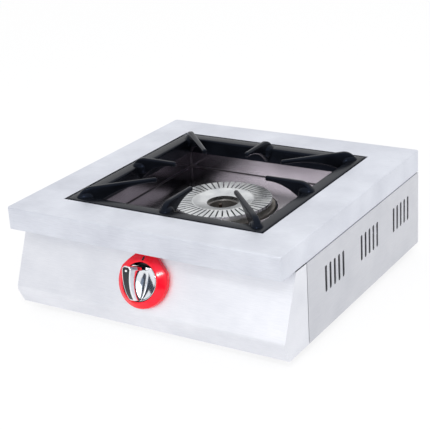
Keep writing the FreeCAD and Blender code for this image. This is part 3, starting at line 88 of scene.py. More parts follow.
# Knob: the fin in plan, the arc of its top, given up the panel and out of it, and the disc under it
FIN_HEAD, FIN_TAIL, FIN_WIDE, FIN_NARROW, FIN_CHAMFER = 19.4, 22.8, 6.5, 4.0, 3.0
CROWN_CENTRE, CROWN_RADIUS = (22.8, -9.5), 55.7
DISC_LOW, DISC_TOP = 9.0, 12.0

# Depths along the knob's axis: the plug under the spring, the spring, and how far a push brings the spindle
PLUG_TOP, SPRING_LOW, SPRING_TOP, PUSH_TRAVEL = -12.0, -11.7, -4.3, 4.0


def linear(code):
    """A colour written as six sRGB hex digits, as linear red, green, blue and alpha."""
    parts = np.array([int(code[i : i + 2], 16) for i in (0, 2, 4)]) / 255
    return (*np.where(parts <= 0.04045, parts / 12.92, ((parts + 0.055) / 1.055) ** 2.4).tolist(), 1.0)


def add(tree, kind, inputs=None, **settings):
    """Add a node with its settings; an input is a number, a colour or the socket that feeds it."""
    node = tree.nodes.new(kind)
    for name, setting in settings.items():
        setattr(node, name, setting)
    for name, source in (inputs or {}).items():
        if isinstance(source, bpy.types.NodeSocket):
            tree.links.new(source, node.inputs[name])
        else:
            node.inputs[name].default_value = source
    return node


def new_material(name):
    """A material with one surface shader, and Object coordinates in metres for its patterns."""
    material = bpy.data.materials.new(name)
    material.use_nodes = True
    tree = material.node_tree
    tree.nodes.clear()
    shader = add(tree, "ShaderNodeBsdfPrincipled")
    add(tree, "ShaderNodeOutputMaterial", {"Surface": shader.outputs["BSDF"]})
    place = add(tree, "ShaderNodeTexCoord").outputs["Object"]
    return material, tree, shader, place


def marks(tree, place, size_mm, detail=2.0, roughness=0.5, stretch=(1.0, 1.0, 1.0)):
    """Soft marks about size_mm across, which a small stretch draws out into long lines along an axis."""
    mapping = add(tree, "ShaderNodeMapping", {"Vector": place, "Scale": stretch})
    inputs = {"Vector": mapping.outputs["Vector"], "Scale": 1 / (size_mm * MM)}
    inputs.update({"Detail": detail, "Roughness": roughness})
    return add(tree, "ShaderNodeTexNoise", inputs).outputs["Fac"]


def coat(tree, shader, tint, rough, relief=None):
    """Let patterns carry a finish, and give back the sockets of its colour and its roughness. A tint is a
    pattern, two colours and the levels where they are reached; a roughness is a pattern and two values; a
    relief is a pattern, its depth in millimetres and its strength."""
    pattern, dark, light, start, end = tint
    blend = add(tree, "ShaderNodeValToRGB", {"Fac": pattern})
    for stop, level, colour in zip(blend.color_ramp.elements, (start, end), (dark, light)):
        stop.position = level
        stop.color = linear(colour)
    tree.links.new(blend.outputs["Color"], shader.inputs["Base Color"])
    pattern, smooth, dull = rough
    spread = add(tree, "ShaderNodeMapRange", {"Value": pattern, "To Min": smooth, "To Max": dull})
    tree.links.new(spread.outputs["Result"], shader.inputs["Roughness"])
    if relief:
        pattern, depth_mm, strength = relief
        inputs = {"Height": pattern, "Distance": depth_mm * MM, "Strength": strength}
        raised = add(tree, "ShaderNodeBump", inputs)
        tree.links.new(raised.outputs["Normal"], shader.inputs["Normal"])
    return blend.outputs["Color"], spread.outputs["Result"]


def satin_stainless(name, stretch, tint, rough):
    """Ground stainless sheet: fine lines one way soften its reflections, and hands leave faint blotches."""
    material, tree, shader, place = new_material(name)
    # Grinding lines are about 0.1 mm apart; they are drawn at 0.6 mm so that they show
    lines = marks(tree, place, 0.6, 3.0, 0.6, stretch)
    blotches = marks(tree, place, 55, 4.0)
    mixed = add(tree, "ShaderNodeMix", {0: 0.6, "A": lines, "B": blotches}).outputs["Result"]
    coat(tree, shader, (mixed, *tint, 0.3, 0.7), (mixed, *rough), (lines, 0.02, 0.35))
    shader.inputs["Metallic"].default_value = 1.0
    shader.inputs["Anisotropic"].default_value = 0.35
    return material


def painted_fold_shade(tree, place, full_mm, unshaded_mm):
    """Painted shade in the tray's folds, from 1 in a fold to 0 on open sheet: a spot's distances from the
    walls and the floor are added two at a time, because only in a fold are two of them small."""
    gaps = place
    folds = (TRAY_INNER * MM, TRAY_INNER * MM, TRAY_FLOOR * MM)
    for operation, inputs in (("ABSOLUTE", {}), ("SUBTRACT", {1: folds}), ("ABSOLUTE", {})):
        gap = add(tree, "ShaderNodeVectorMath", {0: gaps, **inputs}, operation=operation)
        gaps = gap.outputs["Vector"]
    sums = []
    for pair in ((1, 1, 0), (1, 0, 1), (0, 1, 1)):
        both = add(tree, "ShaderNodeVectorMath", {0: gaps, 1: pair}, operation="DOT_PRODUCT")
        sums.append(both.outputs["Value"])
    nearest = sums[0]
    for other in sums[1:]:
        nearest = add(tree, "ShaderNodeMath", {0: nearest, 1: other}, operation="MINIMUM").outputs["Value"]
    limits = {"From Min": full_mm * MM, "From Max": unshaded_mm * MM, "To Min": 1.0, "To Max": 0.0}
    return add(tree, "ShaderNodeMapRange", {"Value": nearest, **limits}).outputs["Result"]


def polished_stainless():
    """Bright rolled stainless with faint rolling lines and slow waves. Most of the tray is pale and a little
    dull;
    towards its left wall its colour is darker, painted shade and painted reflection, and it keeps a mirror's
    shine."""
    material, tree, shader, place = new_material("polished_stainless")
    waves = marks(tree, place, 70, 1.0)
    lines = marks(tree, place, 0.8, 3.0, 0.6, (0.05, 1.0, 1.0))
    across = add(tree, "ShaderNodeSeparateXYZ", {"Vector": place}).outputs["X"]
    # From the left wall across the tray, the painted shade gives way to pale, duller sheet
    limits = {"Value": across, "From Min": -130 * MM, "From Max": -40 * MM}
    scoured_out_of_painted_shade = add(tree, "ShaderNodeMapRange", limits, interpolation_type="SMOOTHSTEP").outputs["Result"]
    # A dark colour in the folds: painted shade
    fold_shade_mask = painted_fold_shade(tree, place, 0.6, 2.2)
    # The darker tint is painted shade and painted reflection, kept towards the left wall
    painted_shade_tint = (waves, "8A858C", "9C979E", 0.35, 0.7)
    tint, shine = coat(tree, shader, painted_shade_tint, (lines, 0.10, 0.15), (waves, 0.05, 0.3))
    level = add(tree, "ShaderNodeMapRange", {"Value": waves, "From Min": 0.35, "From Max": 0.7})
    # A Mix node's colours are its inputs 6 and 7, and its output 2
    shades = {0: level.outputs["Result"], 6: linear("D2CDD3"), 7: linear("E4DFE5")}
    pale = add(tree, "ShaderNodeMix", shades, data_type="RGBA").outputs[2]
    # Away from the left wall the pale tint replaces the painted shade; in the folds a dark colour is painted
    # shade
    for mask, colour, dull in ((scoured_out_of_painted_shade, pale, 0.26), (fold_shade_mask, linear("343236"), 0.5)):
        tint = add(tree, "ShaderNodeMix", {0: mask, 6: tint, 7: colour}, data_type="RGBA").outputs[2]
        shine = add(tree, "ShaderNodeMix", {0: mask, "A": shine, "B": dull}).outputs["Result"]
    tree.links.new(tint, shader.inputs["Base Color"])
    tree.links.new(shine, shader.inputs["Roughness"])
    shader.inputs["Metallic"].default_value = 1.0
    return material


def black_enamel():
    """Vitreous enamel on cast iron: glassy black over a sandy casting, so its shine is slightly dimpled."""
    material, tree, shader, place = new_material("black_enamel")
    grain = marks(tree, place, 2.6, 3.0)
    patches = marks(tree, place, 40, 2.0)
    coat(tree, shader, (patches, "0B0C10", "15181E", 0.35, 0.7), (grain, 0.16, 0.30), (grain, 0.10, 0.4))
    shader.inputs["IOR"].default_value = 1.25
    shader.inputs["Specular IOR Level"].default_value = 0.4
    shader.inputs["Specular Tint"].default_value = linear("B4CCFF")
    return material


def turned_nickel():
    """Nickel plated cap: bright metal with faint turning rings round the burner's axis."""
    material, tree, shader, place = new_material("turned_nickel")
    centred = add(tree, "ShaderNodeMapping", {"Vector": place, "Location": tuple(-BURNER_PLACE * MM)})
    # Turning rings are finer than 1 mm; they are drawn 7.5 mm apart so that they show. The wave takes 20
    # radians for each unit, so 1.2 mm to a radian gives that
    scale = 1 / (20 * 1.2 * MM)
    inputs = {"Vector": centred.outputs["Vector"], "Scale": scale, "Distortion": 0.6, "Detail": 1.0}
    rings = add(tree, "ShaderNodeTexWave", inputs, wave_type="RINGS", rings_direction="Z").outputs["Fac"]
    blotches = marks(tree, place, 18, 3.0)
    coat(tree, shader, (blotches, "B9BCC0", "DCDEDF", 0.3, 0.7), (blotches, 0.22, 0.36), (rings, 0.03, 0.4))
    shader.inputs["Metallic"].default_value = 1.0
    return material


def grey_casting():
    """Machined casting under the cap: duller than the cap, with blotches from the heat."""
    material, tree, shader, place = new_material("grey_casting")
    grain = marks(tree, place, 1.6, 3.0)
    blotches = marks(tree, place, 25, 3.0)
    coat(tree, shader, (blotches, "6E6964", "A09C98", 0.3, 0.7), (grain, 0.35, 0.55), (grain, 0.10, 0.5))
    shader.inputs["Metallic"].default_value = 0.9
    return material


def red_bezel_plastic():
    """Moulded red plastic with a hard gloss and a faint orange peel."""
    material, tree, shader, place = new_material("red_moulded_plastic")
    peel = marks(tree, place, 1.5, 2.0)
    blotches = marks(tree, place, 14, 2.0)
    coat(tree, shader, (blotches, "FF0A22", "FF1A38", 0.3, 0.7), (peel, 0.11, 0.18), (peel, 0.02, 0.3))
    shader.inputs["IOR"].default_value = 1.5
    shader.inputs["Specular IOR Level"].default_value = 0.4
    return material


def chrome_plate():
    """Chrome on a moulding: a cool mirror with the slow ripple of the plastic and faint wiping marks."""
    material, tree, shader, place = new_material("chrome_plate")
    ripple = marks(tree, place, 14, 1.0)
    wiping = marks(tree, place, 6, 3.0)
    coat(tree, shader, (wiping, "EEF0F4", "F6F7F9", 0.3, 0.7), (wiping, 0.05, 0.09), (ripple, 0.02, 0.2))
    shader.inputs["Metallic"].default_value = 1.0
    return material


def plain_gloss(name, dark, light, rough, grain_mm):
    """Moulded or printed plastic: even colour with a fine moulding grain."""
    material, tree, shader, place = new_material(name)
    grain = marks(tree, place, grain_mm, 3.0)
    coat(tree, shader, (grain, dark, light, 0.3, 0.7), (grain, *rough), (grain, 0.02, 0.4))
    shader.inputs["IOR"].default_value = 1.5
    return material


def bare_metal(name, dark, light, rough, grain_mm):
    """Small metal pieces: the metal's colour with plating blotches and a fine grain."""
    material, tree, shader, place = new_material(name)
    grain = marks(tree, place, grain_mm, 3.0)
    coat(tree, shader, (grain, dark, light, 0.3, 0.7), (grain, *rough), (grain, 0.03, 0.4))
    shader.inputs["Metallic"].default_value = 1.0
    return material


def galvanised_sheet():
    """Hot dip galvanised sheet: flat grey with large zinc crystals that catch the light apart."""
    material, tree, shader, place = new_material("galvanised_sheet")
    crystal_mm = 7
    inputs = {"Vector": place, "Scale": 1 / (crystal_mm * MM)}
    spangle = add(tree, "ShaderNodeTexVoronoi", inputs).outputs["Color"]
    grey = add(tree, "ShaderNodeRGBToBW", {"Color": spangle}).outputs["Val"]
    coat(tree, shader, (grey, "8E9398", "B4B9BD", 0.2, 0.8), (grey, 0.35, 0.6))
    shader.inputs["Metallic"].default_value = 0.9
    return material


def grid(points, closed_rows=False, closed_columns=False):
    """Vertices and faces of a grid of points, which may close on itself along its rows or its columns."""
    rows, columns = points.shape[:2]
    i, j = np.meshgrid(
        np.arange(rows if closed_rows else rows - 1),
        np.arange(columns if closed_columns else columns - 1),
        indexing="ij",
    )
    next_i, next_j = (i + 1) % rows, (j + 1) % columns
    corners = [i * columns + j, next_i * columns + j, next_i * columns + next_j, i * columns + next_j]
    return points.reshape(-1, 3), np.stack(corners, -1).reshape(-1, 4)


def with_poles(points):
    """The rows of a shell with one more row at each end, drawn together in the middle of the end row."""
    first = np.broadcast_to(points[:1].mean(1, keepdims=True), points[:1].shape)
    last = np.broadcast_to(points[-1:].mean(1, keepdims=True), points[-1:].shape)
    return np.concatenate([first, points, last])


def with_heights(plan, heights):
    """Rows of points of a plan, each row at its own height."""
    heights = np.reshape(heights, (-1, 1, 1))
    return np.concatenate([plan, np.broadcast_to(heights, (*plan.shape[:2], 1))], -1)


def build(name, shells):
    """An object in metres from grids in millimetres, with doubles merged and normals turned outwards."""
    starts = np.cumsum([0] + [len(points) for points, _ in shells])
    vertices = np.concatenate([points for points, _ in shells]) * MM
    faces = np.concatenate([corners + start for (_, corners), start in zip(shells, starts)])
    mesh = bpy.data.meshes.new(name)
    mesh.from_pydata(vertices.tolist(), [], faces.tolist())
    work = bmesh.new()
    work.from_mesh(mesh)
    merge = 0.002 * MM
    bmesh.ops.remove_doubles(work, verts=work.verts, dist=merge)
    bmesh.ops.dissolve_degenerate(work, edges=work.edges, dist=merge)
    bmesh.ops.recalc_face_normals(work, faces=work.faces)
    work.to_mesh(mesh)
    work.free()
    item = bpy.data.objects.new(name, mesh)
    bpy.context.scene.collection.objects.link(item)
    return item


def united(name, base_shells, tool_shells):
    """One closed skin from closed shells that run into each other."""
    base = build(name, base_shells)
    tool = build(f"{name}_tool", tool_shells)
    union = base.modifiers.new("union", "BOOLEAN")
    union.operation = "UNION"
    union.solver = "EXACT"
    union.use_self = True
    union.object = tool
    graph = bpy.context.evaluated_depsgraph_get()
    mesh = bpy.data.meshes.new_from_object(base.evaluated_get(graph))
    base.modifiers.clear()
    base.data = mesh
    bpy.data.objects.remove(tool)
    return base


def finish(item, material, body, node, sharp=32):
    """Shade a new piece, and let it stand for a solid and move with that solid's body."""
    item.data.materials.clear()
    item.data.materials.append(material)
    item.data.shade_smooth()
    item.data.set_sharp_from_angle(angle=math.radians(sharp))
    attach(item, body)
    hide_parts(node)
    return item


def dress(material, *names):
    """Give every slot of the named solids one material."""
    for name in names:
        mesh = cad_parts[name].data
        for slot in range(max(1, len(mesh.materials))):
            if mesh.materials:
                mesh.materials[slot] = material
            else:
                mesh.materials.append(material)


def filleted(points, radii, steps=6):
    """A closed outline with every corner rounded by an arc of its radius, which touches both of its sides."""
    before = np.roll(points, 1, -2) - points
    after = np.roll(points, -1, -2) - points
    before = before / np.linalg.norm(before, axis=-1, keepdims=True)
    after = after / np.linalg.norm(after, axis=-1, keepdims=True)
    angle = np.arccos(np.clip((before * after).sum(-1), -1, 1))[..., None]
    radii = np.asarray(radii)[:, None]
    reach = radii / np.tan(angle / 2)
    bisector = before + after
    bisector = bisector / np.linalg.norm(bisector, axis=-1, keepdims=True)
    centre = points + bisector * radii / np.sin(angle / 2)
    start, end = points + before * reach - centre, points + after * reach - centre
    turn = (math.pi - angle)[..., None, :]
    share = np.linspace(0, 1, steps)[:, None]
    start, end, centre = start[..., None, :], end[..., None, :], centre[..., None, :]
    arc = (np.sin((1 - share) * turn) * start + np.sin(share * turn) * end) / np.sin(turn)
    return (centre + arc).reshape(*points.shape[:-2], -1, 2)


def angles_of(*degrees):
    """Angles from lists of degrees, in order and without doubles."""
    return np.unique(np.round(np.radians(np.concatenate(degrees)), 6))


def square_loop(angle, half, corner):
    """Points of a rounded square seen at angles from its middle: straight sides, and arcs at the corners."""
    wide, narrow = np.abs(np.cos(angle)), np.abs(np.sin(angle))
    longer, shorter = np.maximum(wide, narrow), np.minimum(wide, narrow)
    inner = half - corner
    room = np.maximum(corner**2 - inner**2 * (longer - shorter) ** 2, 0)
    on_arc = inner * (longer + shorter) + np.sqrt(room)
    distance = np.where(half * shorter / longer > inner, on_arc, half / longer)
    return np.stack([distance * np.cos(angle), distance * np.sin(angle)], -1)


def square_angles():
    """Angles round a square: even along its sides, and closer together towards its corners."""
    nearest = np.array([0.05, 0.1, 0.15, 0.3])
    corner = np.concatenate([np.arange(42.0, 48.01, 0.4), 45 - nearest, 45 + nearest])
    return angles_of(np.arange(0, 360, 3.0), *(corner + quarter * 90 for quarter in range(4)))


def arc_height(along, start, end, radius, side):
    """Height of an arc through two points: the centre lies on one side of their chord, a radius from both."""
    start, end = np.array(start), np.array(end)
    chord = end - start
    length = np.linalg.norm(chord)
    across = side * np.array([-chord[1], chord[0]]) / length
    centre = (start + end) / 2 + across * math.sqrt(radius**2 - length**2 / 4)
    return centre[1] + np.sqrt(np.maximum(radius**2 - (along - centre[0]) ** 2, 0))


def turned_about_z(points, degrees):
    """Points turned about the upright axis."""
    cosine, sine = math.cos(math.radians(degrees)), math.sin(math.radians(degrees))
    return points @ np.array([[cosine, sine, 0], [-sine, cosine, 0], [0, 0, 1]])


def support_ring():
    """Frame of the pan support: a rounded L section, flange and wall, carried round a rounded square."""
    outer, wall_outer, inner = 145.0, 131.9, 126.9
    foot_outer, foot_inner = 131.5, 127.6
    foot, flange_under = 128.0, 144.8
    section = [(outer, flange_under), (outer, FLANGE_TOP), (inner, FLANGE_TOP)]
    section += [(foot_inner, foot), (foot_outer, foot), (wall_outer, flange_under)]
    section = filleted(np.array(section), [0.6, 1.6, 3.0, 1.8, 1.6, 1.2])
    half = section[:, :1]
    corner = np.interp(half, [inner, wall_outer, outer], [3, 5, 3])
    plan = square_loop(square_angles()[None, :], half, corner)
    return grid(with_heights(plan, section[:, 1]), True, True)


def support_finger(turn, finger):
    """One finger: a rounded bar whose width tapers to the tip, whose top is level and falls in an arc to its
    foot, and whose underside is an arc from the tip down to the wall; its tip is rounded over."""
    tip_round, edge_round, fall_radius = 2.2, 2.6, 21.0
    tip_width, foot_width = 5.8, 8.4
    tip_under, wall_under, flange_under = 155.0, 130.0, 146.5
    bend = np.linspace(math.pi / 2, 0, 6)
    free = np.linspace(finger.tip + tip_round, finger.wall, 22)[1:]
    stations = np.concatenate([free, np.linspace(finger.wall, finger.foot - 0.2, 18)[1:]])
    along = np.concatenate([finger.tip + tip_round * (1 - np.sin(bend)), stations])
    inset = np.concatenate([tip_round * (1 - np.cos(bend)), np.zeros_like(stations)])
    fall = arc_height(along, (finger.foot, FLANGE_TOP), (finger.fall, FINGER_TOP), fall_radius, 1)
    top = np.where(along < finger.fall, FINGER_TOP, np.minimum(fall, FINGER_TOP)) - inset
    ends = (finger.tip, tip_under), (finger.wall, wall_under)
    under = arc_height(np.minimum(along, finger.wall), *ends, finger.under_radius, -1)
    bottom = np.where(along > finger.flange, flange_under, under) + inset
    half = np.interp(along, [finger.tip, finger.foot], [tip_width, foot_width]) / 2 - inset
    rounding = np.minimum(edge_round, np.minimum(0.92 * half, 0.46 * (top - bottom)))[:, None]
    quarter = np.linspace(0, math.pi / 2, 7)
    angle = np.concatenate([quarter + turns * math.pi / 2 for turns in range(4)])
    side = np.repeat([1, -1, -1, 1], len(quarter))
    level = np.repeat([1, 1, -1, -1], len(quarter))
    middle, tall = ((top + bottom) / 2)[:, None], ((top - bottom) / 2)[:, None]
    across = side * (half[:, None] - rounding) + rounding * np.cos(angle)
    height = middle + level * (tall - rounding) + rounding * np.sin(angle)
    points = np.stack([np.broadcast_to(along[:, None], across.shape), across, height], -1)
    return grid(with_poles(turned_about_z(points, turn)), False, True)


def power(value, exponent):
    """A number raised to an exponent with its sign kept, which squares off sines and cosines."""
    return np.sign(value) * np.abs(value) ** exponent


def finger_root(turn, finger):
    """Rounded boss at the root of a finger: a squared-off ellipsoid half sunk in the frame, flat where it
    would stand out below the flange."""
    middle, half_width, half_height, flange_under = 146.0, 8.5, 9.5, 146.2
    inward, outward = 9.0, 1.5
    low, high = finger.wall - inward, finger.foot + outward
    rise = np.linspace(-math.pi / 2, math.pi / 2, 21)[:, None]
    round_it = np.linspace(0, 2 * math.pi, 32, endpoint=False)[None, :]
    along = (low + high) / 2 + (high - low) / 2 * power(np.sin(rise), 0.85) * np.ones_like(round_it)
    across = half_width * power(np.cos(rise), 0.7) * power(np.cos(round_it), 0.8)
    height = middle + half_height * power(np.cos(rise), 0.7) * power(np.sin(round_it), 0.8)
    height = np.where(along > finger.flange, np.maximum(height, flange_under), height)
    return grid(turned_about_z(np.stack([along, across, height], -1), turn), False, True)


def knob_space(points):
    """Points of the knob's own frame, across, up the panel and out of it, set in the stove's frame."""
    across = np.array([1.0, 0, 0])
    return KNOB_PLACE + points @ np.stack([across, np.cross(KNOB_OUT, across), KNOB_OUT])


def around(rows, angle):
    """Rows of (distance, height), one row a step along a profile, each at its angle about the knob's axis."""
    distance, height = rows[..., 0], rows[..., 1]
    return np.stack([distance * np.cos(angle), distance * np.sin(angle), height], -1)


def bezel_collar():
    """Collar: at every angle a section of floor, hole, lip, slope and wall, with rounded corners. The wall
    stands at the nearest of a circle, whose middle is above the knob's axis, and three flats."""
    hole, floor, back = 14.5, 1.5, 0.05
    top_flat, side_flat = 31.8, 33.0
    angle = angles_of(np.arange(0, 360, 1.5), np.arange(20, 160, 0.5))
    toward = np.stack([np.cos(angle), np.sin(angle)], -1)
    circle = BEZEL_RISE * toward[:, 1] + np.sqrt(BEZEL_RADIUS**2 - (BEZEL_RISE * toward[:, 0]) ** 2)
    wall = circle
    for turn, reach in ((0, top_flat), (45, side_flat), (-45, side_flat)):
        facing = np.array([-math.sin(math.radians(turn)), math.cos(math.radians(turn))])
        flat = (reach + BEZEL_RISE * facing[1]) / np.maximum(toward @ facing, 0.05)
        wall = np.minimum(wall, flat)
    shoulder = BEZEL_TOP - BEZEL_FALL * (wall - BEZEL_LIP) / (circle - BEZEL_LIP)
    inside = [(hole, back), (hole, floor), (BEZEL_BORE, floor)]
    inside += [(BEZEL_BORE, BEZEL_TOP), (BEZEL_LIP, BEZEL_TOP)]
    section = [np.broadcast_to(spot, toward.shape) for spot in inside]
    section += [np.stack([wall, shoulder], -1), np.stack([wall, np.full_like(wall, back)], -1)]
    rows = filleted(np.stack(section, -2), [0.1, 0.3, 1.0, 0.7, 1.0, 2.2, 0.3], 7)
    return grid(knob_space(around(np.swapaxes(rows, 0, 1), angle)), True, True)


def bezel_index():
    """Index mark on the slope of the collar: a thin squared-off ellipsoid."""
    half_width, half_length, half_depth, reach = 1.4, 3.0, 0.3, 29.35
    fall = math.atan2(BEZEL_FALL, BEZEL_RADIUS + BEZEL_RISE - BEZEL_LIP)
    rise = np.linspace(-math.pi / 2, math.pi / 2, 9)[:, None]
    round_it = np.linspace(0, 2 * math.pi, 40, endpoint=False)[None, :]
    wide = half_width * power(np.cos(rise), 0.3) * power(np.cos(round_it), 0.5)
    long = half_length * power(np.cos(rise), 0.3) * power(np.sin(round_it), 0.5)
    thick = half_depth * np.sin(rise) * np.ones_like(round_it)
    middle = np.array([0, reach, BEZEL_TOP - (reach - BEZEL_LIP) * math.tan(fall)])
    axes = np.array([[1, 0, 0], [0, math.cos(fall), -math.sin(fall)], [0, math.sin(fall), math.cos(fall)]])
    return grid(knob_space(middle + np.stack([wide, long, thick], -1) @ axes), False, True)


def crown(up_panel):
    """Height of the fin's convex top at a place up the panel: an arc about a line across the knob."""
    return CROWN_CENTRE[1] + np.sqrt(CROWN_RADIUS**2 - (up_panel - CROWN_CENTRE[0]) ** 2)


def knob_disc():
    """Dished disc, cut flat at the pointer end: a cubic from the middle to a rounded rim, and a flat back."""
    reach, rim_round, dish = 23.6, 0.6, 2.3
    angle = angles_of(np.arange(0, 360, 2.0), np.arange(50, 62, 0.5))
    edge = np.minimum(reach, FIN_HEAD / np.maximum(np.sin(angle), 0.05))
    level = np.ones_like(edge)
    share = np.linspace(0.04, 1, 16)[:, None]
    bowl = np.stack([share * (edge - rim_round), DISC_TOP - dish * (1 - share**3) * level], -1)
    bend = np.linspace(0, math.pi / 2, 6)[1:, None]
    rim_height = DISC_TOP - rim_round + rim_round * np.cos(bend) * level
    rim = np.stack([edge - rim_round + rim_round * np.sin(bend), rim_height], -1)
    steps = np.array([(1.0, DISC_LOW + 0.4), (0.98, DISC_LOW), (0.05, DISC_LOW)])
    back = np.stack([steps[:, :1] * edge, steps[:, 1:] * level], -1)
    return grid(with_poles(knob_space(around(np.concatenate([bowl, rim, back]), angle))), False, True)


def fin_outline(count=220):
    """Plan of the fin with rounded corners, as points evenly spaced along it, and its outward normals."""
    wide, narrow, head = FIN_WIDE, FIN_NARROW, FIN_HEAD
    corners = [(wide - FIN_CHAMFER, head), (FIN_CHAMFER - wide, head), (-wide, head - FIN_CHAMFER)]
    corners += [(-narrow, -FIN_TAIL), (narrow, -FIN_TAIL), (wide, head - FIN_CHAMFER)]
    plan = filleted(np.array(corners), [1.6, 1.6, 1.6, 1.2, 1.2, 1.6], 7)
    plan = np.concatenate([plan, plan[:1]])
    walked = np.concatenate([[0], np.cumsum(np.linalg.norm(np.diff(plan, axis=0), axis=1))])
    steps = np.linspace(0, walked[-1], count, endpoint=False)
    points = np.stack([np.interp(steps, walked, plan[:, 0]), np.interp(steps, walked, plan[:, 1])], -1)
    tangent = np.roll(points, -1, 0) - np.roll(points, 1, 0)
    normal = np.stack([tangent[:, 1], -tangent[:, 0]], -1)
    return points, normal / np.linalg.norm(normal, axis=1, keepdims=True)


def knob_fin():
    """Grip of the knob: its plan carried up from the disc to the crown. The flanks lean in towards the top by
    an exponential of the depth below it and hollow out at the foot; then come a rounded rim and a recess for
    the face."""
    foot, edge, recess, recess_depth, middle_depth = 9.3, 1.2, 1.3, 1.05, 3.0
    lean, lean_depth, toe, toe_power = 1.7, 6.0, 1.5, 14
    plan, normal = fin_outline()
    share = np.linspace(0, 1, 48)[:, None]
    rise = crown(plan[:, 1]) - edge - foot
    flare = lean * (1 - np.exp(-(1 - share) * rise / lean_depth)) + toe * (1 - share) ** toe_power
    wall_x = plan[:, 0] + flare * normal[:, 0]
    rows = [np.stack([wall_x, plan[:, 1] * np.ones_like(share), foot + share * rise], -1)]
    bend = np.linspace(0, math.pi / 2, 6)[1:]
    steps = [(edge * (1 - math.cos(b)), edge * (1 - math.sin(b))) for b in bend]
    for inset, drop in [*steps, (recess, 0), (recess, recess_depth)]:
        spot = plan - inset * normal
        rows.append(np.concatenate([spot, (crown(spot[:, 1]) - drop)[:, None]], -1)[None])
    points = with_poles(np.concatenate(rows))
    # The floor of the recess falls to one point under the face
    points[-1] = np.array([0, 0, crown(0.0) - middle_depth])
    return grid(knob_space(points), False, True)


def knob_face():
    """Black face let into the fin: a strip as wide as the recess at every place, bent to the crown."""
    edge, chamfer_start = 1.34, FIN_HEAD - FIN_CHAMFER - 0.5
    sides = np.linspace(edge - FIN_TAIL, chamfer_start, 40)
    up_panel = np.concatenate([sides, np.linspace(chamfer_start + 0.1, FIN_HEAD - edge, 10)])
    side = np.interp(up_panel, [-FIN_TAIL, chamfer_start], [FIN_NARROW, FIN_WIDE]) - edge
    # The chamfers stand at 45 degrees, so across the fin their inset is 1.41 times the edge
    slant = FIN_HEAD - up_panel + FIN_WIDE - FIN_CHAMFER - 1.41 * edge
    half = np.minimum(side, slant)[:, None]
    face = np.linspace(-1, 1, 25)
    share = np.concatenate([face, [1.0, -1.0]])[None, :]
    drop = np.concatenate([0.3 * face**16, [1.0, 1.0]])[None, :]
    points = [half * share, up_panel[:, None] * np.ones_like(share), crown(up_panel)[:, None] - drop]
    return grid(with_poles(knob_space(np.stack(points, -1))), False, True)


def knob_pointer():
    """White dot near the pointer end: a low dome."""
    radius, dome, middle = 1.6, 0.18, FIN_HEAD - 5.5
    angle = np.linspace(0, 2 * math.pi, 32, endpoint=False)
    rise = np.linspace(-0.6, math.pi / 2 - 0.1, 8)[:, None]
    reach = radius * np.cos(np.maximum(rise, 0))
    height = crown(middle) + dome * np.sin(np.maximum(rise, 0)) + np.minimum(rise, 0)
    points = [reach * np.cos(angle), middle + reach * np.sin(angle), height * np.ones_like(angle)]
    return grid(with_poles(knob_space(np.stack(points, -1))), False, True)


def valve_coil():
    """Return spring of the tap: a round wire in a helix about the knob's axis, which climbs evenly."""
    wire, reach, turns = 0.39, 5.4, 3.5
    walk = np.linspace(0, 2 * math.pi * turns, 160)[:, None]
    ring = np.linspace(0, 2 * math.pi, 12, endpoint=False)[None, :]
    distance = reach + wire * np.cos(ring)
    climb = (SPRING_TOP - SPRING_LOW - 2 * wire) * walk / walk[-1]
    height = SPRING_LOW + wire + climb + wire * np.sin(ring)
    points = np.stack([distance * np.cos(walk), distance * np.sin(walk), height], -1)
    return grid(with_poles(knob_space(points)), False, True)


def tray_basin():
    """Folded tray: a flange, an upright wall and a floor that goes from a rounded square to the round lip
    about the burner, in straight lines from the one to the other."""
    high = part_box("drip_tray")[1]
    flange, top = high[0] / MM, high[2] / MM
    fold, hole, lip_round, lip_height = 1.0, 74.0, 1.5, 3.0
    bend = np.linspace(0, math.pi / 2, 5)
    angles = square_angles()
    rows = [(flange, top)]
    rows += [(TRAY_INNER + fold * (1 - math.sin(b)), top - fold * (1 - math.cos(b))) for b in bend]
    rows += [(TRAY_INNER, z) for z in np.linspace(top - 2 * fold, TRAY_FLOOR + fold + 0.2, 6)]
    rows += [(TRAY_INNER - fold * (1 - math.cos(b)), TRAY_FLOOR + fold * (1 - math.sin(b))) for b in bend]
    rows = np.array(rows)
    corner = np.interp(rows[:, 0], [TRAY_INNER - fold, TRAY_INNER, flange], [0.8, 1.2, 3.0])
    plan = square_loop(angles[None, :], rows[:, :1], corner[:, None])
    circle = np.stack([np.cos(angles), np.sin(angles)], -1)
    ring = BURNER_PLACE[:2] + (hole + lip_round) * circle
    share = np.concatenate([[0.003], np.linspace(0, 1, 14)[1:]])[:, None, None]
    flat = plan[-1] * (1 - share) + ring * share
    lip = [(hole + lip_round * (1 - math.sin(b)), lip_round * (1 - math.cos(b))) for b in bend[1:]]
    lip = np.array([*lip, (hole, lip_height)])
    edge = BURNER_PLACE[:2] + lip[:, :1, None] * circle
    shells = [with_heights(plan, rows[:, 1]), with_heights(flat, np.full(len(flat), TRAY_FLOOR))]
    return grid(np.concatenate([*shells, with_heights(edge, TRAY_FLOOR + lip[:, 1])]), False, True)


def hexagon(angle, corner_reach, chamfer):
    """Distance to the edge of a hexagon at an angle, with its corners turned off at a radius."""
    flat = corner_reach * math.cos(math.pi / 6) / np.cos((angle + math.pi / 6) % (math.pi / 3) - math.pi / 6)
    return np.minimum(flat, chamfer)


def along_inlet(rows, angle):
    """Points about the gas inlet's axis, front to back, from rows of a distance and a place along it."""
    points = []
    for distance, back in rows:
        distance = distance * np.ones_like(angle)
        across, up = INLET_PLACE[0] + distance * np.cos(angle), INLET_PLACE[1] + distance * np.sin(angle)
        points.append(np.stack([across, back * np.ones_like(across), up], -1))
    return np.concatenate(points)


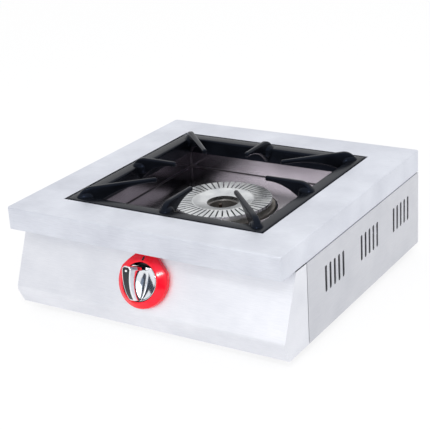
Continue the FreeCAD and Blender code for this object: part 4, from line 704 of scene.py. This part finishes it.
def inlet_fitting():
    """Gas inlet turned about its axis: boss, hexagon, shank, relief groove and a hose thread, whose radius
    falls by a triangle wave of the place along the axis less the turn round it; a bore runs through."""
    boss, shank, groove, bore, end_face = 9.0, 12.0, 9.6, 5.0, 9.2
    corner, corner_cut, chamfer = 16.0, 15.0, 0.4
    front, hex_front, hex_back, shank_back, groove_back = 178.05, 190.0, 198.0, 206.0, 207.8
    radius, start, end, pitch, depth, runout = 10.48, 208.0, 221.95, 1.814, 0.95, 1.5
    angle = np.linspace(0, 2 * math.pi, 96, endpoint=False)[None, :]
    hexed, turned_off = hexagon(angle, corner, corner), hexagon(angle, corner, corner_cut)
    back = np.arange(start, end, pitch / 8)[:, None]
    wave = np.abs(2 * ((back / pitch - angle / (2 * math.pi)) % 1) - 1)
    # The thread's last turns get a little narrower, as a lead-in for the hose
    fading = np.clip((end - back) / runout, 0, 1) * 0.6 + 0.4
    thread = (radius - depth * wave) * np.where(fading < 1, 0.92 + 0.08 * fading, 1)
    rows = [(boss, front), (boss, hex_front), (turned_off, hex_front), (hexed, hex_front + 0.6)]
    rows += [(hexed, hex_back - 0.6), (turned_off, hex_back), (shank, hex_back)]
    rows += [(shank, shank_back - chamfer), (shank - chamfer, shank_back)]
    rows += [(groove, shank_back + 0.2), (groove, groove_back)]
    rows += [(thread, back), (end_face, end), (bore + chamfer, end), (bore, end - chamfer), (bore, front)]
    return grid(along_inlet(rows, angle), True, True)


def inlet_nut():
    """Lock nut of the inlet: a hexagon with turned-off corners about a round hole."""
    hole, corner, corner_cut = 12.05, 17.0, 15.6
    front, back, bevel = 199.52, 205.48, 0.78
    angle = np.linspace(0, 2 * math.pi, 96, endpoint=False)[None, :]
    hexed, turned_off = hexagon(angle, corner, corner), hexagon(angle, corner, corner_cut)
    rows = [(hole, front), (turned_off, front), (hexed, front + bevel), (hexed, back - bevel)]
    rows += [(turned_off, back), (hole + 0.55, back), (hole, back - 0.48)]
    return grid(along_inlet(rows, angle), True, True)


class StoveSettings(bpy.types.PropertyGroup):
    """What a user would change in the studio."""

    key_power: FloatProperty(
        name="Key light", description="Power of the large lamp overhead", default=2.2, unit="POWER"
    )
    fill_power: FloatProperty(
        name="Fill light", description="Power of the lamp at the left front", default=1.6, unit="POWER"
    )
    front_power: FloatProperty(
        name="Front light", description="Power of the lamp left of the camera", default=2.6, unit="POWER"
    )
    small_power: FloatProperty(
        name="Small light", description="Power of the small lamp over the camera", default=7.0, unit="POWER"
    )
    floor_colour: FloatVectorProperty(
        name="Floor",
        description="Colour of the pale floor",
        default=linear("F4F4F5")[:3],
        subtype="COLOR",
        size=3,
    )


class STOVE_OT_casing(bpy.types.Operator):
    """Finish the folded sheets of the casing, its feet and its screws"""

    bl_idname = "stove.casing"
    bl_label = "Casing"

    def execute(self, context):
        along_x, along_y = (0.04, 1.0, 1.0), (1.0, 0.04, 1.0)
        # One ground sheet in three copies: the tint of the front, also used on the rear panel, is paler and
        # the sides' tint darker than the top's, painted light and painted shade for how each face meets the
        # lamps
        top = satin_stainless("satin_stainless_top", along_x, ("C9CCD6", "E5E8F0"), (0.34, 0.52))
        front = satin_stainless("satin_stainless_front_painted_lit", along_x, ("DCDEE5", "F0F1F6"), (0.40, 0.54))
        sides = satin_stainless("satin_stainless_sides_painted_shade", along_y, ("C4C6CD", "D8D9DE"), (0.34, 0.52))
        dress(top, "top_frame")
        dress(front, "front_panel", "rear_panel")
        dress(sides, "left_side_panel", "right_side_panel")
        zinc = bare_metal("zinc_plated_steel", "9DA1A6", "C3C7CB", (0.25, 0.4), 2.0)
        dress(zinc, "foot_screws", "foot_nuts", "base_screws", "rear_screws", "burner_screws")
        dress(plain_gloss("foot_rubber", "131313", "1F1F1F", (0.6, 0.8), 1.5), "rubber_feet")
        galvanised = galvanised_sheet()
        dress(galvanised, "base_plate", "burner_bracket", "injector_bracket")
        dress(galvanised, "thermocouple_clip", "air_shutter")
        return {"FINISHED"}


class STOVE_OT_hob(bpy.types.Operator):
    """Finish the tray, the pan support and the burner"""

    bl_idname = "stove.hob"
    bl_label = "Hob"

    def execute(self, context):
        tray = build("tray_basin", [tray_basin()])
        sheet = tray.modifiers.new("sheet", "SOLIDIFY")
        sheet.thickness = 0.8 * MM
        sheet.offset = -1.0
        finish(tray, polished_stainless(), "tray", "drip_tray", 50)
        fingers, roots = [], []
        for quarter in range(4):
            for turn, finger in ((0, SIDE_FINGER), (45, CORNER_FINGER)):
                fingers.append(support_finger(quarter * 90 + turn, finger))
                roots.append(finger_root(quarter * 90 + turn, finger))
        support = united("support_casting", [support_ring(), *roots], fingers)
        finish(support, black_enamel(), "support", "pan_support", 40)
        dress(turned_nickel(), "burner_cap")
        dress(grey_casting(), "burner_body")
        return {"FINISHED"}


class STOVE_OT_knob(bpy.types.Operator):
    """Finish the knob, its bezel and its marks"""

    bl_idname = "stove.knob"
    bl_label = "Knob"

    def execute(self, context):
        black = plain_gloss("black_gloss_plastic", "15171D", "20232B", (0.18, 0.3), 1.2)
        white = plain_gloss("white_print", "E9E9E9", "F6F6F6", (0.3, 0.45), 0.8)
        collar = build("bezel_collar", [bezel_collar()])
        finish(collar, red_bezel_plastic(), "casing", "knob_bezel", 50)
        # The well of the collar gets black plastic's colour: painted shade
        self.paint_well_shade(collar, black)
        finish(build("bezel_index", [bezel_index()]), black, "casing", "bezel_mark")
        grip = united("knob_grip", [knob_disc()], [knob_fin()])
        finish(grip, chrome_plate(), "knob", "knob_body", 40)
        finish(build("knob_face", [knob_face()]), black, "knob", "knob_inlay", 50)
        finish(build("knob_pointer", [knob_pointer()]), white, "knob", "knob_dot")
        return {"FINISHED"}

    def paint_well_shade(self, collar, black):
        """Give the floor and the bore of the collar the black of the knob's face: painted shade, for the
        recess lying in shadow.
        """
        collar.data.materials.append(black)
        centres = np.empty(3 * len(collar.data.polygons))
        collar.data.polygons.foreach_get("center", centres)
        offset = centres.reshape(-1, 3) / MM - KNOB_PLACE
        height = offset @ KNOB_OUT
        reach = np.linalg.norm(offset - height[:, None] * KNOB_OUT, axis=1)
        in_well = (reach < BEZEL_BORE + 0.12).astype(np.int32)
        collar.data.polygons.foreach_set("material_index", in_well)


class STOVE_OT_gas_line(bpy.types.Operator):
    """Finish the tap, the pipes, the injector and the flame probe inside the casing"""

    bl_idname = "stove.gas_line"
    bl_label = "Gas line"

    def execute(self, context):
        brass = bare_metal("machined_brass", "A9843E", "CBA763", (0.2, 0.34), 1.6)
        dress(brass, "injector", "injector_holder", "gas_valve_body", "valve_rotor", "valve_nut")
        dress(brass, "feed_nuts", "supply_nuts")
        finish(build("inlet_fitting", [inlet_fitting()]), brass, "casing", "gas_inlet")
        finish(build("inlet_nut", [inlet_nut()]), brass, "casing", "inlet_lock_nut")
        steel = bare_metal("bright_steel", "8C8E92", "B4B6BA", (0.22, 0.36), 1.5)
        dress(steel, "valve_spindle", "safety_magnet")
        coil = finish(build("valve_coil", [valve_coil()]), steel, "plug", "valve_spring")
        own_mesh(coil)
        dress(bare_metal("heat_stained_steel", "3A322C", "5E5048", (0.35, 0.5), 1.5), "thermocouple")
        dress(bare_metal("aluminium_pipe", "A9ABAE", "C6C8CA", (0.3, 0.45), 3.0), "feed_pipe", "supply_pipe")
        dress(bare_metal("copper_lead", "9C5A38", "BF7A52", (0.25, 0.4), 2.0), "thermocouple_lead")
        return {"FINISHED"}


class STOVE_OT_stage(bpy.types.Operator):
    """Set the camera at the photograph's view, a pale floor and soft studio light"""

    bl_idname = "stove.stage"
    bl_label = "Studio"

    def execute(self, context):
        scene = context.scene
        settings = scene.stove
        scene.view_settings.view_transform = "Standard"
        self.camera(scene)
        self.floor(settings)
        self.light(scene, "key_light", (0.1, 0.3, 1.6), (0, 0, 0.1), 1.6, settings.key_power)
        self.light(scene, "fill_light", (-0.55, -2.4, 0.75), (0, -0.1, 0.08), 1.1, settings.fill_power)
        self.light(scene, "front_light", (0.60, -2.15, 0.95), (0, -0.18, 0.08), 0.7, settings.front_power)
        self.light(scene, "small_light", (0.695, -1.21, 1.23), (0, -0.18, 0.08), 0.24, settings.small_power)
        self.card("right_card", (0.9, -2.6), (2.7, -0.7), (0.14, 0.50), "3C424E")
        self.card("camera_card", (1.20, -2.22), (1.65, -1.91), (0.50, 1.50), "34373E")
        self.card("grey_card", (0.82, -2.44), (1.20, -2.24), (0.41, 0.85), "7A879A")
        self.card("left_card", (-1.6, -2.05), (-2.4, -1.0), (0.0, 0.9), "AEB2BA")
        self.world(scene)
        return {"FINISHED"}

    def camera(self, scene):
        """The camera fitted to the photograph: a place, three angles and a focal length in its pixels."""
        place = (0.796, -1.260, 0.688)
        yaw, pitch, roll = math.radians(-32.66), math.radians(21.65), math.radians(-3.62)
        focal_pixels, image_pixels, sensor_mm = 1190.7, 430, 36.0
        level = math.cos(pitch)
        ahead = Vector((math.sin(yaw) * level, math.cos(yaw) * level, -math.sin(pitch)))
        right = Vector((math.cos(yaw), -math.sin(yaw), 0))
        above = right.cross(ahead)
        across = right * math.cos(roll) + above * math.sin(roll)
        upward = above * math.cos(roll) - right * math.sin(roll)
        data = bpy.data.cameras.new("photo_camera")
        data.sensor_width = sensor_mm
        data.lens = focal_pixels / image_pixels * sensor_mm
        camera = bpy.data.objects.new("photo_camera", data)
        turn = Matrix((across, upward, -ahead)).transposed().to_4x4()
        camera.matrix_world = Matrix.Translation(place) @ turn
        scene.collection.objects.link(camera)
        scene.camera = camera

    def floor(self, settings):
        """A wide flat floor that is white on its own, with a share of it left for the object's shadow."""
        half_side, depth, white_share = 6000, 0.5, 0.75
        side = np.linspace(-half_side, half_side, 13)
        east, north = np.meshgrid(side, side)
        floor = build("floor", [grid(np.stack([east, north, np.full_like(east, -depth)], -1))])
        material, tree, shader, _ = new_material("pale_floor")
        shader.inputs["Base Color"].default_value = (*settings.floor_colour, 1.0)
        shader.inputs["Roughness"].default_value = 0.8
        white = add(tree, "ShaderNodeEmission", {"Color": (1.0, 1.0, 1.0, 1.0), "Strength": 1.04})
        shares = {"Fac": white_share, 1: shader.outputs["BSDF"], 2: white.outputs["Emission"]}
        both = add(tree, "ShaderNodeMixShader", shares)
        output = next(node for node in tree.nodes if node.type == "OUTPUT_MATERIAL")
        tree.links.new(both.outputs["Shader"], output.inputs["Surface"])
        floor.data.materials.append(material)

    def card(self, name, start, end, heights, colour):
        """An upright card between two places, hidden from the camera, that bright metal can reflect."""
        share, level = np.meshgrid([0.0, 1.0], heights)
        east, north = (a + share * (b - a) for a, b in zip(start, end))
        card = build(name, [grid(np.stack([east, north, level], -1) / MM)])
        material, _, shader, _ = new_material(name)
        shader.inputs["Base Color"].default_value = linear(colour)
        shader.inputs["Roughness"].default_value = 0.9
        card.data.materials.append(material)
        card.visible_camera = False

    def light(self, scene, name, place, aim, size, power):
        """A square soft lamp, turned to what it lights."""
        data = bpy.data.lights.new(name, "AREA")
        data.size = size
        data.energy = power
        lamp = bpy.data.objects.new(name, data)
        lamp.location = place
        lamp.rotation_euler = (Vector(aim) - Vector(place)).to_track_quat("-Z", "Y").to_euler()
        scene.collection.objects.link(lamp)

    def world(self, scene):
        """Even white surroundings: white behind the object and in reflections, softer as light."""
        world = bpy.data.worlds.new("studio")
        world.use_nodes = True
        tree = world.node_tree
        tree.nodes.clear()
        rays = add(tree, "ShaderNodeLightPath").outputs
        seen = rays["Is Camera Ray"]
        for name in ("Is Glossy Ray", "Is Transmission Ray"):
            both = add(tree, "ShaderNodeMath", {0: seen, 1: rays[name]}, operation="MAXIMUM")
            seen = both.outputs["Value"]
        level = add(tree, "ShaderNodeMapRange", {"Value": seen, "To Min": 0.9, "To Max": 1.0})
        white = {"Color": (1.0, 1.0, 1.0, 1.0), "Strength": level.outputs["Result"]}
        sky = add(tree, "ShaderNodeBackground", white)
        add(tree, "ShaderNodeOutputWorld", {"Surface": sky.outputs["Background"]})
        scene.world = world


class STOVE_PT_panel(bpy.types.Panel):
    """Steps and settings in the sidebar"""

    bl_idname = "STOVE_PT_panel"
    bl_label = "Gas stove"
    bl_space_type = "VIEW_3D"
    bl_region_type = "UI"
    bl_category = "Gas stove"

    def draw(self, context):
        settings = context.scene.stove
        for name in settings.bl_rna.properties.keys():
            if name not in ("rna_type", "name"):
                self.layout.prop(settings, name)
        for step in STEPS:
            self.layout.operator(step.bl_idname)


STEPS = (STOVE_OT_casing, STOVE_OT_hob, STOVE_OT_knob, STOVE_OT_gas_line, STOVE_OT_stage)
CLASSES = (StoveSettings, *STEPS, STOVE_PT_panel)


def register():
    for item in CLASSES:
        bpy.utils.register_class(item)
    bpy.types.Scene.stove = PointerProperty(type=StoveSettings)


def unregister():
    del bpy.types.Scene.stove
    for item in reversed(CLASSES):
        bpy.utils.unregister_class(item)


def main():
    register()
    bpy.ops.stove.casing()
    bpy.ops.stove.hob()
    bpy.ops.stove.knob()
    bpy.ops.stove.gas_line()
    bpy.ops.stove.stage()


if __name__ == "__main__":
    main()
